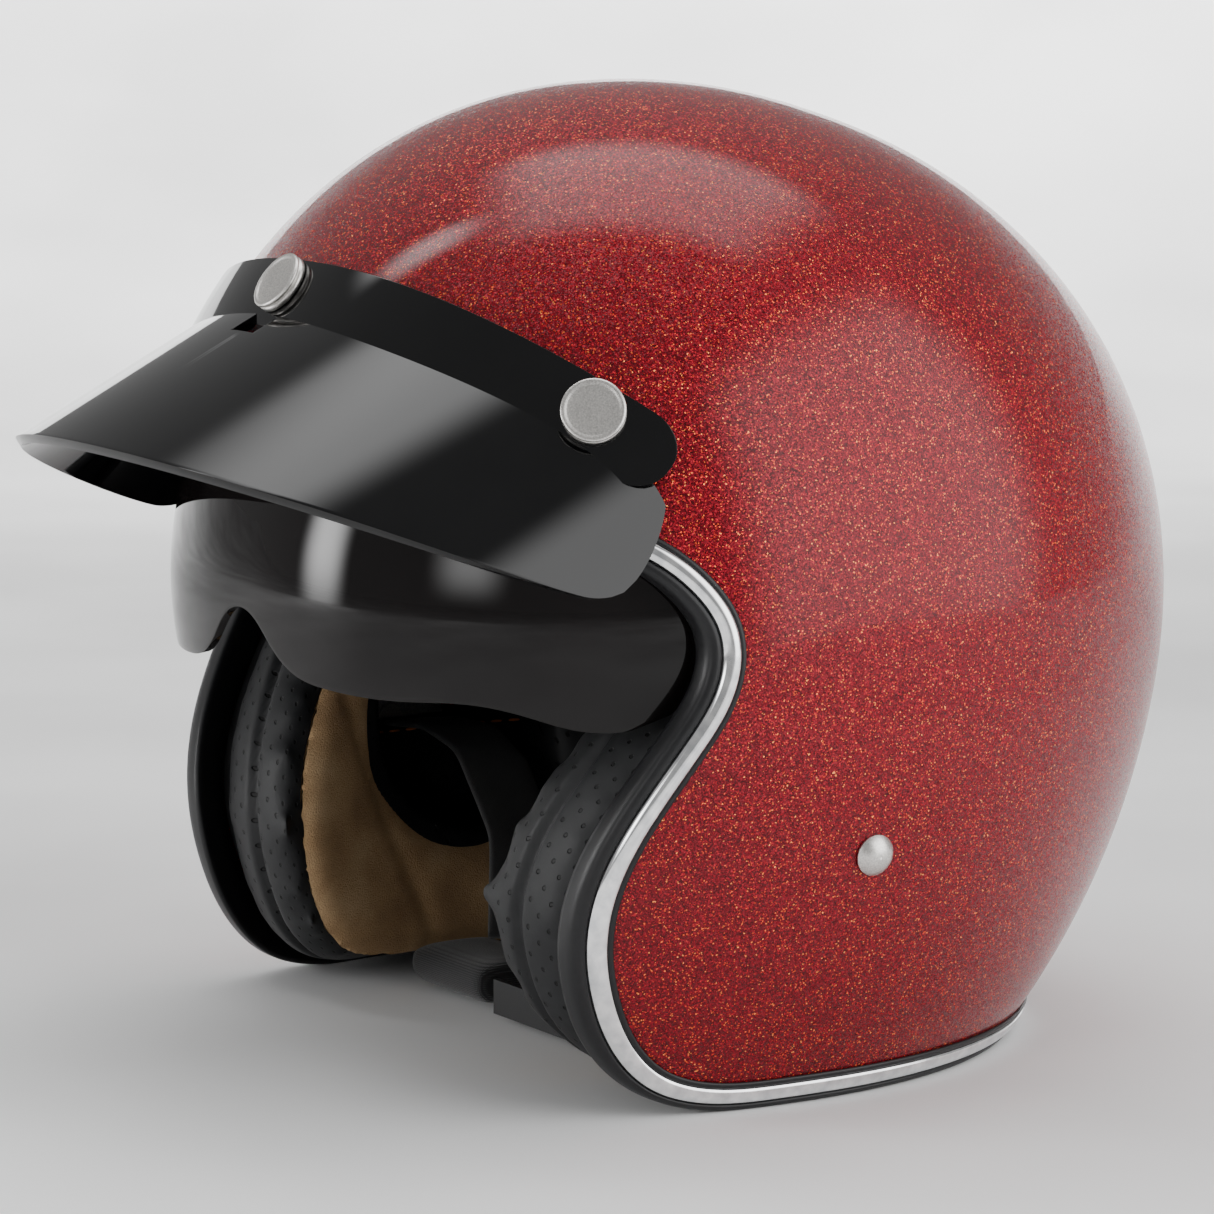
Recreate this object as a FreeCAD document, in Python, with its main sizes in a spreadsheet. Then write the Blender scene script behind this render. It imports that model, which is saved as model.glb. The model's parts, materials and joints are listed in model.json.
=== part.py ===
"""Open face motorcycle helmet.

Front faces -Y, the wearer's left is +X, +Z is up and the edge trim stands on Z = 0.
Millimetres. Shapes are described from the dome's centre, and origin() moves them to the frame.
"""
import FreeCAD
import Part
import math
import os

os.makedirs("parts", exist_ok=True)
V = FreeCAD.Vector
doc = FreeCAD.newDocument("Helmet")

# ---------------------------------------------------------------- driving dimensions
sheet = doc.addObject("Spreadsheet::Sheet", "Dims")
DIMS = {
    # dome: half axes of an egg, measured in the dome's own leaning frame
    "half_width": 121.0,
    "front_length": 124.8,
    "back_length": 135.8,
    "crown_height": 132.8,
    "depth_side": 192.4,
    "depth_back": 151.0,
    "depth_front": 158.0,
    "crown_power": 2.16,
    "plan_power": 2.18,
    "dome_lean": 15.3,
    "centre_forward": 10.9,
    "centre_height": 106.95,
    # layers, as depths below the outer surface
    "shell_depth": 3.6,
    "foam_low_depth": 13.0,
    "foam_depth": 29.0,
    "lining_depth": 34.5,
    "pad_top_depth": 15.0,
    "pad_depth": 44.0,
    "plush_depth": 47.5,
    # edge trim, as distances past the painted edge
    "trim_lip": 5.4,
    "trim_bead": 7.0,
    "chrome_start": 1.2,
    "chrome_proud": 1.9,
    # sun visor
    "visor_pivot_forward": 15.0,
    "visor_pivot_rise": 8.0,
    "visor_radius": 99.0,
    "visor_half_width": 108.2,
    "visor_power": 2.3,
    "visor_gauge": 2.2,
    "visor_arm_side": 103.0,
    "visor_top_angle": 38.0,
    "visor_low_angle": 24.0,
    "visor_swing": 46.0,
    "visor_boss_radius": 10.0,
    "pivot_radius": 3.0,
    "pivot_gap": 0.05,
    "pivot_head_radius": 6.0,
    "visor_washer_radius": 7.0,
    "bracket_side": 106.2,
    "bracket_gauge": 2.4,
    "bracket_radius": 15.0,
    "bracket_length": 34.0,
    "bracket_foot": 14.0,
    # peak
    "peak_gauge": 3.0,
    "peak_gap": 1.0,
    "band_height": 18.5,
    "bill_half_width": 110.0,
    "bill_arch": 84.7,
    "bill_base": -6.5,
    "bill_tilt": 27.0,
    "bill_reach": 90.0,
    "bill_root": -69.0,
    "bill_gauge": 2.6,
    # press studs
    "cap_radius": 7.5,
    "cap_rise": 3.0,
    "stud_radius": 3.0,
    "stud_clearance": 5.6,
    "stud_flange": 4.6,
    "stud_rise": 2.35,
    # strap rivets
    "rivet_radius": 5.0,
    "rivet_shank": 2.5,
    "anchor_width": 26.0,
    "anchor_height": 34.0,
    "anchor_gauge": 2.0,
    "washer_radius": 7.0,
    "washer_gauge": 0.75,
    # strap and buckle
    "strap_width": 24.0,
    "strap_gauge": 1.8,
    "buckle_length": 44.0,
    "buckle_width": 27.0,
    "buckle_height": 9.0,
    "buckle_floor": 2.0,
    "lever_length": 30.0,
    "pin_radius": 1.5,
    "buckle_wall": 1.6,
    "buckle_base": 1.4,
    "lever_gauge": 1.6,
    "tongue_length": 38.0,
    "tongue_gauge": 2.6,
}
for row, (alias, value) in enumerate(DIMS.items(), start=1):
    sheet.set("A%d" % row, alias)
    sheet.set("B%d" % row, repr(value))
    sheet.setAlias("B%d" % row, alias)
doc.recompute()


def dim(alias):
    """Value of one driving dimension."""
    return float(sheet.get(alias))


NODES = []


def keep(shape, name):
    """Adds one finished shape as a sub-part."""
    obj = doc.addObject("Part::Feature", name)
    obj.Shape = shape
    obj.Label = name
    obj.Placement = FreeCAD.Placement(origin(0, 0, 0), FreeCAD.Rotation())
    NODES.append(obj)
    return obj


def origin(x, y, z):
    """A place given from the dome's centre, in the part's frame."""
    return V(x, y + dim("centre_forward"), z + dim("centre_height"))


def primitive(kind, name, point, axis, **sizes):
    """Part primitive whose sizes are bound to the sheet, standing on a point along an axis."""
    obj = doc.addObject(kind, name)
    for prop, expression in sizes.items():
        obj.setExpression(prop, expression)
    obj.Placement = FreeCAD.Placement(origin(point.x, point.y, point.z), FreeCAD.Rotation(V(0, 0, 1), axis))
    return obj


def box(name, corner, length, width, height):
    """Bound box with its low corner at a place."""
    return primitive("Part::Box", name, corner, V(0, 0, 1), Length=length, Width=width, Height=height)


def cylinder(name, point, axis, radius, height):
    """Bound cylinder from a point along an axis."""
    return primitive("Part::Cylinder", name, point, axis, Radius=radius, Height=height)


def cut(name, base, tool):
    """One object minus another."""
    obj = doc.addObject("Part::Cut", name)
    obj.Base = base
    obj.Tool = tool
    return obj


def fuse(name, parts):
    """Several objects joined."""
    obj = doc.addObject("Part::MultiFuse", name)
    obj.Shapes = parts
    obj.Refine = True
    return obj


def group(name, parts):
    """Several separate solids kept as one sub-part."""
    obj = doc.addObject("Part::Compound", name)
    obj.Links = parts
    return obj


def finish(obj, name):
    """Registers a document object as a sub-part."""
    obj.Label = name
    NODES.append(obj)
    return obj


# ---------------------------------------------------------------- dome surfaces
COLUMNS = 24
LEAN = math.radians(-dim("dome_lean"))
WALL_BOTTOM = 110.0
WALL_BOTTOM_LEAN = 24.0


def lean(point):
    """Turns a point of the dome's own frame to the level frame."""
    y = point.y * math.cos(LEAN) - point.z * math.sin(LEAN)
    z = point.y * math.sin(LEAN) + point.z * math.cos(LEAN)
    return V(point.x, y, z)


def dome_column(azimuth, inset):
    """Profile points of the dome from its crown to its closed underside."""
    toward_front = math.cos(azimuth)
    front = max(toward_front, 0.0) ** 2
    back = max(-toward_front, 0.0) ** 2
    depth = dim("depth_front") * front + dim("depth_back") * back
    depth += dim("depth_side") * (1.0 - front - back) - 0.3 * inset
    length = dim("front_length") if toward_front > 0 else dim("back_length")
    power = dim("plan_power")
    plan = abs(math.sin(azimuth)) ** power + abs(toward_front) ** power
    plan = plan ** (-1.0 / power)
    wide = (dim("half_width") - inset) * plan * math.sin(azimuth)
    deep = (length - inset) * plan * toward_front
    crown = dim("crown_height") - inset
    bottom = WALL_BOTTOM + WALL_BOTTOM_LEAN * toward_front
    points = []
    for step in range(8):
        angle = math.radians(90.0 * step / 7.0)
        share = math.sin(angle)
        height = crown * (1.0 - share ** dim("crown_power")) ** (1.0 / dim("crown_power"))
        points.append(V(wide * share, -deep * share, height))
    for step in range(1, 6):
        drop = bottom * step / 5.0
        share = math.sqrt(1.0 - (drop / depth) ** 2)
        points.append(V(wide * share, -deep * share, -drop))
    rise = 0.25 * inset
    points.append(V(wide * share * 0.6, -deep * share * 0.6, -bottom - 16.0 + rise))
    points.append(V(0, 0, -WALL_BOTTOM - 36.0 + rise))
    return points


def dome(inset):
    """Closed solid of the dome at a depth below the outer surface."""
    ring = []
    for column in range(COLUMNS):
        azimuth = 2.0 * math.pi * column / COLUMNS
        points = dome_column(azimuth, inset)
        flat = V(points[1].x, points[1].y, 0)
        across = V(math.sin(azimuth), -math.cos(azimuth), 0) if flat.Length == 0 else flat.normalize()
        curve = Part.BSplineCurve()
        count = len(points)
        curve.interpolate(Points=points, Parameters=[i / (count - 1.0) for i in range(count)],
                          InitialTangent=across * 330.0, FinalTangent=across * -500.0, Scale=False)
        ring.append(curve)
    poles = []
    for column in range(COLUMNS):
        before = ring[column - 1].getPoles()
        here = ring[column].getPoles()
        after = ring[(column + 1) % COLUMNS].getPoles()
        poles.append([lean((h * 8.0 - b - a) * (1.0 / 6.0)) for b, h, a in zip(before, here, after)])
    for column in poles:
        column[0] = poles[0][0]
        column[-1] = poles[0][-1]
    surface = Part.BSplineSurface()
    surface.buildFromPolesMultsKnots(poles, [1] * (COLUMNS + 1), ring[0].getMultiplicities(),
                                     [float(i) for i in range(COLUMNS + 1)], ring[0].getKnots(),
                                     True, False, 3, ring[0].Degree)
    face = surface.toShape()
    solid = Part.Solid(Part.Shell([face]))
    if solid.Volume < 0:
        face.reverse()
        solid = Part.Solid(Part.Shell([face]))
    return solid


DOMES = {}


def dome_at(depth):
    """Dome solid at a depth, made once."""
    if depth not in DOMES:
        DOMES[depth] = dome(depth)
    return DOMES[depth]


def layer(outer, inner, *prisms):
    """Material between two depths below the outer surface, inside every prism."""
    shape = dome_at(outer)
    for prism in prisms:
        shape = shape.common(prism)
    return shape.cut(dome_at(inner))


# ---------------------------------------------------------------- side-view outlines
REACH = 200.0


def side_prism(wire, low=-REACH, high=REACH):
    """Solid swept along X from a closed outline drawn in the side view."""
    return Part.Face(wire).extrude(V(high - low, 0, 0)).translated(V(low, 0, 0))


def side_polygon(points, low=-REACH, high=REACH):
    """Prism along X from side-view corners."""
    corners = [V(0, y, z) for y, z in points]
    return side_prism(Part.makePolygon(corners + corners[:1]), low, high)


# painted edge from the forehead down the face opening and back along the flat underside
EDGE = [(-140, 49.5), (-115, 47.5), (-94, 44), (-75, 38.5), (-60, 31), (-50.5, 22), (-45.5, 13), (-44.5, 4),
        (-47.5, -7), (-54, -18), (-61, -29), (-67, -40.5), (-70.5, -52), (-71, -63), (-68.5, -75), (-63.5, -86),
        (-55, -95), (-43, -99.2), (-25, -100), (0, -100), (40, -100), (100, -100), (160, -100)]


def edge_curve(offset):
    """Painted edge moved towards the opening by a distance."""
    base = Part.BSplineCurve()
    base.interpolate([V(0, y, z) for y, z in EDGE])
    first, last = base.FirstParameter, base.LastParameter
    points = []
    steps = 90
    for step in range(steps + 1):
        place = first + (last - first) * step / steps
        tangent = base.tangent(place)[0]
        points.append(base.value(place) + V(0, tangent.z, -tangent.y) * offset)
    moved = Part.BSplineCurve()
    moved.interpolate(points)
    return moved


def inside_edge(offset):
    """Everything on the helmet's side of the moved edge."""
    curve = edge_curve(offset)
    start = curve.value(curve.FirstParameter)
    end = curve.value(curve.LastParameter)
    corners = [end, V(0, 160, 180), V(0, -180, 180), V(0, -180, start.z), start]
    edges = [curve.toShape()]
    edges += [Part.makeLine(a, b) for a, b in zip(corners[:-1], corners[1:])]
    return side_prism(Part.Wire(edges))


def edge_strip(near, far):
    """Prism between two distances past the painted edge."""
    curves = [edge_curve(near), edge_curve(far)]
    starts = [c.value(c.FirstParameter) for c in curves]
    ends = [c.value(c.LastParameter) for c in curves]
    edges = [curves[0].toShape(), Part.makeLine(ends[0], ends[1]), curves[1].toShape(),
             Part.makeLine(starts[1], starts[0])]
    return side_prism(Part.Wire(Part.__sortEdges__(edges)))


def biggest(shape):
    """Largest solid of a boolean's result."""
    return sorted(shape.Solids, key=lambda s: s.Volume)[-1]


def axis_frame(point, axis):
    """Placement whose Z runs along an axis through a point."""
    return FreeCAD.Placement(point, FreeCAD.Rotation(V(0, 0, 1), axis))


def on_dome(depth, target):
    """Nearest point of a dome surface to a target, with its outward direction."""
    face = dome_at(depth).Faces[0]
    u, v = face.Surface.parameter(target)
    outward = face.normalAt(u, v)
    if outward.dot(target) < 0:
        outward = outward * -1.0
    return face.Surface.value(u, v), outward


def disc(point, axis, low, high, radius):
    """Cylinder between two distances along an axis through a point."""
    return Part.makeCylinder(radius, high - low, point + axis * low, axis)


# ---------------------------------------------------------------- fastener places
SNAP_TARGETS = [V(0, -102, 86), V(94, -72, 61), V(-94, -72, 61)]
RIVET_TARGET = V(118, -9, -45)
PIVOT = V(0, -dim("visor_pivot_forward"), dim("visor_pivot_rise"))
snaps = [on_dome(0, target) for target in SNAP_TARGETS]
rivet_point, rivet_axis = on_dome(0, RIVET_TARGET)


def mirrored(vector):
    """The same place or direction on the wearer's right."""
    return V(-vector.x, vector.y, vector.z)


# ---------------------------------------------------------------- shell and edge trim
LIP = dim("trim_lip")
inside_lip = inside_edge(LIP)

shell = biggest(layer(0, dim("shell_depth"), inside_lip))
for point, axis in snaps:
    shell = shell.cut(disc(point, axis, -12, 12, 2.0))
for point, axis in ((rivet_point, rivet_axis), (mirrored(rivet_point), mirrored(rivet_axis))):
    shell = shell.cut(disc(point, axis, -14, 14, dim("rivet_shank")))
keep(shell, "outer_shell")

chrome = layer(-dim("chrome_proud"), 0, edge_strip(dim("chrome_start"), LIP))
keep(biggest(chrome), "edge_trim_chrome")
bead = layer(-1.2, 5.4, edge_strip(LIP, dim("trim_bead")))
below_floor = Part.makeBox(400, 400, 20, V(-200, -200, -dim("centre_height") - 20))
keep(biggest(biggest(bead).cut(below_floor)), "edge_trim_rubber")
inner_lip = layer(dim("shell_depth"), 5.2, edge_strip(-3.0, LIP))
keep(biggest(inner_lip), "edge_trim_inner_lip")

# ---------------------------------------------------------------- sun visor
VISOR_R = dim("visor_radius")
VISOR_A = dim("visor_half_width")


def visor_radius(side, extra=0.0):
    """Distance of the lens from its pivot line, at a distance from the middle."""
    share = 1.0 - (abs(side) / (VISOR_A + extra)) ** dim("visor_power")
    return (VISOR_R + extra) * max(share, 0.0) ** (1.0 / dim("visor_power"))


def side_shell(low_angle, high_angle, outer_extra, inner_extra, side_outer, side_inner):
    """Lens-like layer with flat side arms reaching the pivot line."""
    count = 12
    outer = []
    inner = []
    for step in range(-count, count + 1):
        share = math.sin(math.pi / 2 * step / count)
        outer.append(V(side_outer * share, -visor_radius(side_outer * share, outer_extra), 0))
        inner.append(V(side_inner * share, -visor_radius(side_inner * share, inner_extra), 0))
    outer_curve = Part.BSplineCurve()
    outer_curve.interpolate(outer)
    inner_curve = Part.BSplineCurve()
    inner_curve.interpolate(inner)
    hub = [outer[-1], V(side_outer, 0, 0), V(side_inner, 0, 0), inner[-1]]
    edges = [outer_curve.toShape(), inner_curve.toShape()]
    edges += [Part.makeLine(a, b) for a, b in zip(hub[:-1], hub[1:])]
    hub = [mirrored(p) for p in hub]
    edges += [Part.makeLine(a, b) for a, b in zip(hub[:-1], hub[1:])]
    face = Part.Face(Part.Wire(Part.__sortEdges__(edges)))
    face = face.rotated(V(0, 0, 0), V(1, 0, 0), -low_angle)
    return face.revolve(V(0, 0, 0), V(-1, 0, 0), high_angle - low_angle).translated(PIVOT)


def across(side, low, high, radius, place=PIVOT):
    """Cylinder along X between two distances from the middle, on one side of the helmet."""
    start = V(place.x + side * low, place.y, place.z)
    return Part.makeCylinder(radius, high - low, start, V(side, 0, 0))


GAUGE = dim("visor_gauge")
ARM = dim("visor_arm_side")
PIN_HOLE = dim("pivot_radius") + dim("pivot_gap")
# lens lower edge in the front view: nose notch in the middle, finger tab on the wearer's left
LENS_EDGE = [(0, 8), (7, 6), (14, 0), (22, -5.5), (34, -8), (60, -8.5), (76, -8.5), (84, -11), (92, -14), (99, -12),
             (103, -6), (112, -3)]
LENS_EDGE_PLAIN = [(0, 8), (7, 6), (14, 0), (22, -5.5), (34, -8), (60, -8.5), (84, -8.5), (98, -7), (112, -3)]


def lens_window():
    """Front-view region that the lens keeps."""
    points = [V(-x, -150, z) for x, z in reversed(LENS_EDGE_PLAIN[1:])]
    points += [V(x, -150, z) for x, z in LENS_EDGE]
    curve = Part.BSplineCurve()
    curve.interpolate(points)
    corners = [points[-1], V(112, -150, 120), V(-112, -150, 120), points[0]]
    edges = [curve.toShape()]
    edges += [Part.makeLine(a, b) for a, b in zip(corners[:-1], corners[1:])]
    return Part.Face(Part.Wire(edges)).extrude(V(0, 220, 0))


lens = side_shell(-dim("visor_low_angle"), dim("visor_top_angle"), 0, -GAUGE, ARM + GAUGE, ARM)
bosses = [across(side, ARM, ARM + GAUGE, dim("visor_boss_radius")) for side in (1, -1)]
lens = lens.common(lens_window()).fuse(bosses)
for side in (1, -1):
    lens = lens.cut(across(side, 90, 120, PIN_HOLE))
keep(biggest(lens), "sun_visor_lens")

for side, name in ((1, "left"), (-1, "right")):
    outward = V(side, 0, 0)

    def at_side(distance):
        """Place on the pivot line at a distance from the middle."""
        return V(side * distance, PIVOT.y, PIVOT.z)

    washer_start = ARM + GAUGE + 0.1
    plate_start = dim("bracket_side")
    ring = cylinder("WasherDisc_" + name, at_side(washer_start), outward, "Dims.visor_washer_radius",
                    "Dims.bracket_side - Dims.visor_arm_side - Dims.visor_gauge - 0.1")
    ring_hole = cylinder("WasherHole_" + name, at_side(washer_start - 1), outward, "Dims.pivot_radius", "5")
    finish(cut("Washer_" + name, ring, ring_hole), "visor_washer_" + name)

    plate = cylinder("BracketDisc_" + name, at_side(plate_start), outward, "Dims.bracket_radius",
                     "Dims.bracket_gauge")
    low_side = min(side * plate_start, side * (plate_start + dim("bracket_gauge")))
    foot = box("BracketFoot_" + name, V(low_side, PIVOT.y - 4, PIVOT.z - dim("bracket_foot") / 2),
               "Dims.bracket_gauge", "Dims.bracket_length", "Dims.bracket_foot")
    plate_hole = cylinder("BracketHole_" + name, at_side(plate_start - 1), outward, "Dims.pivot_radius", "6")
    finish(cut("Bracket_" + name, fuse("BracketPlate_" + name, [plate, foot]), plate_hole),
           "visor_bracket_" + name)

    shank = cylinder("PivotShank_" + name, at_side(ARM - 0.5), outward, "Dims.pivot_radius",
                     "Dims.bracket_side + Dims.bracket_gauge - Dims.visor_arm_side + 0.5")
    head = cylinder("PivotHead_" + name, at_side(ARM - 2.6), outward, "Dims.pivot_head_radius", "2.5")
    slot = box("PivotSlot_" + name, V(side * (ARM - 2.6) - 0.7, PIVOT.y - 4.5, PIVOT.z - 0.6), "1.4", "9", "1.2")
    finish(cut("Pivot_" + name, fuse("PivotScrew_" + name, [shank, head]), slot), "visor_pivot_" + name)

# ---------------------------------------------------------------- foam liner
inside_foam = inside_edge(-3.5)
above_floor = side_polygon([(-180, -96.5), (180, -96.5), (180, 180), (-180, 180)])
cheek_zone = side_polygon([(-120, 1.5), (24, 1.5), (24, -120), (-120, -120)])
neck_zone = side_polygon([(23.9, -40), (160, -40), (160, -120), (23.9, -120)])
LOW_FOAM = dim("foam_low_depth")
foam = layer(dim("shell_depth") + 0.6, dim("foam_depth"), inside_foam, above_floor)
foam = foam.cut(dome_at(LOW_FOAM).common(cheek_zone)).cut(dome_at(LOW_FOAM).common(neck_zone))
pocket = side_shell(-dim("visor_low_angle") - 3, dim("visor_top_angle") + dim("visor_swing") + 4, 18, -5, 111, 98)
foam = foam.cut(pocket)
for side in (1, -1):
    foam = foam.cut(across(side, 98, 111, 20.0))
    foam = foam.cut(Part.makeBox(14, 40, 18, V(98 if side > 0 else -112, PIVOT.y - 8, PIVOT.z - 9)))
anchor_places = ((rivet_point, rivet_axis, "left"), (mirrored(rivet_point), mirrored(rivet_axis), "right"))
for point, axis, name in anchor_places:
    foam = foam.cut(disc(point, axis, -15.0, -3.0, 22.0))
keep(biggest(foam), "foam_liner")

# ---------------------------------------------------------------- lining, pads and neck roll
inside_lining = inside_edge(-4.5)
LINING = (dim("foam_depth") + 0.5, dim("lining_depth"))
crown = layer(*LINING, side_polygon([(-180, 52.5), (180, 52.5), (180, 180), (-180, 180)]), inside_lining)
keep(biggest(crown), "crown_lining")
band_outline = [(-180, 51.5), (180, 51.5), (180, -39), (25, -39), (25, 3), (-180, 3)]
keep(biggest(layer(*LINING, side_polygon(band_outline), inside_lining)), "headband_lining")
roll = layer(LOW_FOAM + 0.5, 38.0, side_polygon([(25, -41), (150, -41), (150, -101), (25, -101)]))
keep(biggest(roll), "neck_roll")

EAR = V(0, -2, -36)


def ear_opening(radius):
    """Room for the ear, open to the back above the pads' lower arm."""
    hole = Part.makeCylinder(radius, 400, V(-200, EAR.y, EAR.z), V(1, 0, 0))
    return hole.fuse(Part.makeBox(400, 60, 60, V(-200, EAR.y, EAR.z - radius)))


pad_outline = side_polygon([(-120, 0.5), (23.5, 0.5), (23.5, -101.5), (-120, -101.5)])
pads = layer(dim("pad_top_depth"), dim("pad_depth"), pad_outline, inside_edge(3.0)).cut(ear_opening(33.0)).cut(pocket)
plush_outline = side_polygon([(-120, -3), (20, -3), (20, -98), (-120, -98)])
plush = layer(dim("pad_depth") + 0.3, dim("plush_depth"), plush_outline, inside_edge(-1.5)).cut(ear_opening(36.0))
backing_outline = side_polygon([(-120, -8), (12, -8), (12, -92), (-120, -92)])
backing = layer(LOW_FOAM + 0.2, dim("pad_top_depth") - 0.2, backing_outline, inside_edge(-8.0))
backing = backing.cut(ear_opening(35.0)).cut(pocket)
for side in (1, -1):
    pads = pads.cut(across(side, 98, 111, dim("visor_boss_radius") + 3.0))
LEFT_HALF = Part.makeBox(200, 500, 500, V(0, -250, -250))
RIGHT_HALF = Part.makeBox(200, 500, 500, V(-200, -250, -250))
for half, name in ((LEFT_HALF, "left"), (RIGHT_HALF, "right")):
    keep(biggest(pads.common(half)), "cheek_pad_" + name)
    keep(biggest(plush.common(half)), "cheek_plush_" + name)
    keep(biggest(backing.common(half)), "cheek_backing_" + name)

# ---------------------------------------------------------------- peak
BAND_TOP = V(0, -96, 91)
BAND_RUN = V(0, 0.768, -0.640)
BAND_ACROSS = V(0, -0.640, -0.768)
BAND_LENGTH = 56.0
band_corners = [BAND_TOP - BAND_RUN * 60, BAND_TOP + BAND_RUN * BAND_LENGTH]
band_corners += [c + BAND_ACROSS * dim("band_height") for c in reversed(band_corners)]
band_box = side_prism(Part.makePolygon(band_corners + band_corners[:1]))
round_edges = []
for edge in band_box.Edges:
    middle = edge.CenterOfMass
    along = (middle - BAND_TOP).dot(BAND_RUN)
    if abs(along - BAND_LENGTH) < 0.5 and abs(edge.Length - 2 * REACH) < 0.5:
        round_edges.append(edge)
band_box = band_box.makeFillet(8.5, round_edges)
GAP = dim("peak_gap")
band = layer(-GAP - dim("peak_gauge"), -GAP, band_box)
band = sorted(band.Solids, key=lambda s: s.CenterOfMass.y)[0]
half_chord = dim("bill_half_width")


def arch_prism(shrink):
    """Solid under the bill's arched top, swept along its tilted direction."""
    major = half_chord - shrink
    minor = dim("bill_arch") - shrink
    arc = Part.Arc(Part.Ellipse(V(0, 0, 0), major, minor), 0.0, math.pi).toShape()
    ends = Part.makeLine(arc.Vertexes[-1].Point, arc.Vertexes[0].Point)
    face = Part.Face(Part.Wire([arc, ends]))
    face = face.rotated(V(0, 0, 0), V(1, 0, 0), 90)
    slope = math.tan(math.radians(dim("bill_tilt")))
    start = V(0, -200, dim("bill_base") - (200 - 106) * slope)
    return face.translated(start).extrude(V(0, 190, 190 * slope))


def bill_plan():
    """Plan outline of the bill, as an upright prism."""
    reach = dim("bill_reach")
    root = dim("bill_root")
    wide = half_chord - 0.5
    back = root + 11.0
    arc = Part.Arc(Part.Ellipse(V(0, root, 0), wide, reach), math.pi, 2 * math.pi).toShape()
    first, last = sorted((v.Point for v in arc.Vertexes), key=lambda p: p.x)
    edges = [arc, Part.makeLine(last, V(wide, back, 0)), Part.makeLine(V(wide, back, 0), V(-wide, back, 0)),
             Part.makeLine(V(-wide, back, 0), first)]
    plan = Part.Face(Part.Wire(edges)).extrude(V(0, 0, 300)).translated(V(0, 0, -100))
    corners = [e for e in plan.Edges if len(e.Vertexes) == 2 and abs(e.Vertexes[0].Point.y - back) < 0.1
               and abs(e.Vertexes[1].Point.y - back) < 0.1 and abs(abs(e.Vertexes[0].Point.x) - wide) < 0.1
               and abs(e.Length - 300) < 0.1]
    return plan.makeFillet(9.0, corners)


bill = arch_prism(0).cut(arch_prism(dim("bill_gauge"))).common(bill_plan())
bill = bill.cut(dome_at(-2.7))
bill = biggest(bill)
peak = biggest(band.fuse(bill))
for point, axis in snaps:
    peak = peak.cut(disc(point, axis, -4, GAP + dim("peak_gauge") + 0.5, dim("stud_clearance")))
vent = Part.makeBox(11.0, 9.0, 30.0, V(-5.5, -112.5, 60))
peak = peak.cut(vent.cut(band_box))
keep(biggest(peak), "peak")

cap_list = []
stud_list = []
SEAT = GAP + dim("peak_gauge") + 0.02
for number, (point, axis) in enumerate(snaps):
    skirt = cylinder("CapSkirt_%d" % number, point + axis * SEAT, axis, "Dims.cap_radius", "Dims.cap_rise * 0.45")
    step = cylinder("CapStep_%d" % number, point + axis * SEAT, axis, "Dims.cap_radius - 0.5",
                    "Dims.cap_rise * 0.7")
    crown_point = point + axis * (SEAT + dim("cap_rise") * 0.65)
    top = cylinder("CapTop_%d" % number, crown_point, axis, "Dims.cap_radius", "Dims.cap_rise * 0.35")
    cap_list.append(fuse("Cap_%d" % number, [skirt, step, top]))
    flange = cylinder("StudFlange_%d" % number, point + axis * 0.05, axis, "Dims.stud_flange", "0.7")
    post = cylinder("StudPost_%d" % number, point + axis * 0.05, axis, "Dims.stud_radius", "Dims.stud_rise")
    rivet = cylinder("StudRivet_%d" % number, point - axis * 3.9, axis, "1.95", "4.2")
    stud_list.append(fuse("Stud_%d" % number, [flange, post, rivet]))
finish(group("SnapCaps", cap_list), "snap_caps")
finish(group("SnapStuds", stud_list), "snap_studs")

# ---------------------------------------------------------------- strap anchors
for point, axis, name in anchor_places:
    dome_head = primitive("Part::Sphere", "RivetDome_" + name, point - axis * 3.2, axis, Radius="6.2")
    collar = cylinder("RivetCollar_" + name, point + axis * 0.05, axis, "Dims.rivet_radius", "5")
    head = doc.addObject("Part::Common", "RivetHead_" + name)
    head.Base = dome_head
    head.Tool = collar
    shank = cylinder("RivetShank_" + name, point - axis * 6.5, axis, "Dims.rivet_shank", "7.7")
    tail = cylinder("RivetTail_" + name, point - axis * 7.5, axis, "Dims.rivet_shank + 1.1", "1")
    finish(fuse("Rivet_" + name, [head, shank, tail]), "strap_rivet_" + name)

    ring = cylinder("RivetRing_" + name, point - axis * 4.43, axis, "Dims.washer_radius", "Dims.washer_gauge")
    ring_hole = cylinder("RivetRingHole_" + name, point - axis * 5.0, axis, "Dims.rivet_shank", "4")
    finish(cut("RivetWasher_" + name, ring, ring_hole), "strap_washer_" + name)

    wide, tall, thick = dim("anchor_width"), dim("anchor_height"), dim("anchor_gauge")
    plate = Part.makeBox(wide, tall, thick, V(-wide / 2, -tall / 2, -6.45))
    plate = plate.makeFillet(5.0, [e for e in plate.Edges if abs(e.Length - thick) < 0.01])
    plate = plate.cut(Part.makeBox(wide - 7, 4, 20, V(-(wide - 7) / 2, -tall / 2 + 4, -12)))
    plate.Placement = axis_frame(point, axis).multiply(plate.Placement)
    plate = plate.cut(disc(point, axis, -8, 2, dim("rivet_shank")))
    keep(plate, "strap_anchor_" + name)

# ---------------------------------------------------------------- chin strap and buckle
def ribbon(points, wide_vectors, gauge):
    """Flat webbing through a list of places, each with its own width direction."""
    sections = []
    for index, (point, wide) in enumerate(zip(points, wide_vectors)):
        before = points[max(index - 1, 0)]
        after = points[min(index + 1, len(points) - 1)]
        up = (after - before).cross(wide).normalize() * (gauge / 2)
        half = V(wide).normalize() * (dim("strap_width") / 2)
        corners = [point - half - up, point + half - up, point + half + up, point - half + up]
        sections.append(Part.makePolygon(corners + corners[:1]))
    return Part.makeLoft(sections, True, True)


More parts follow.
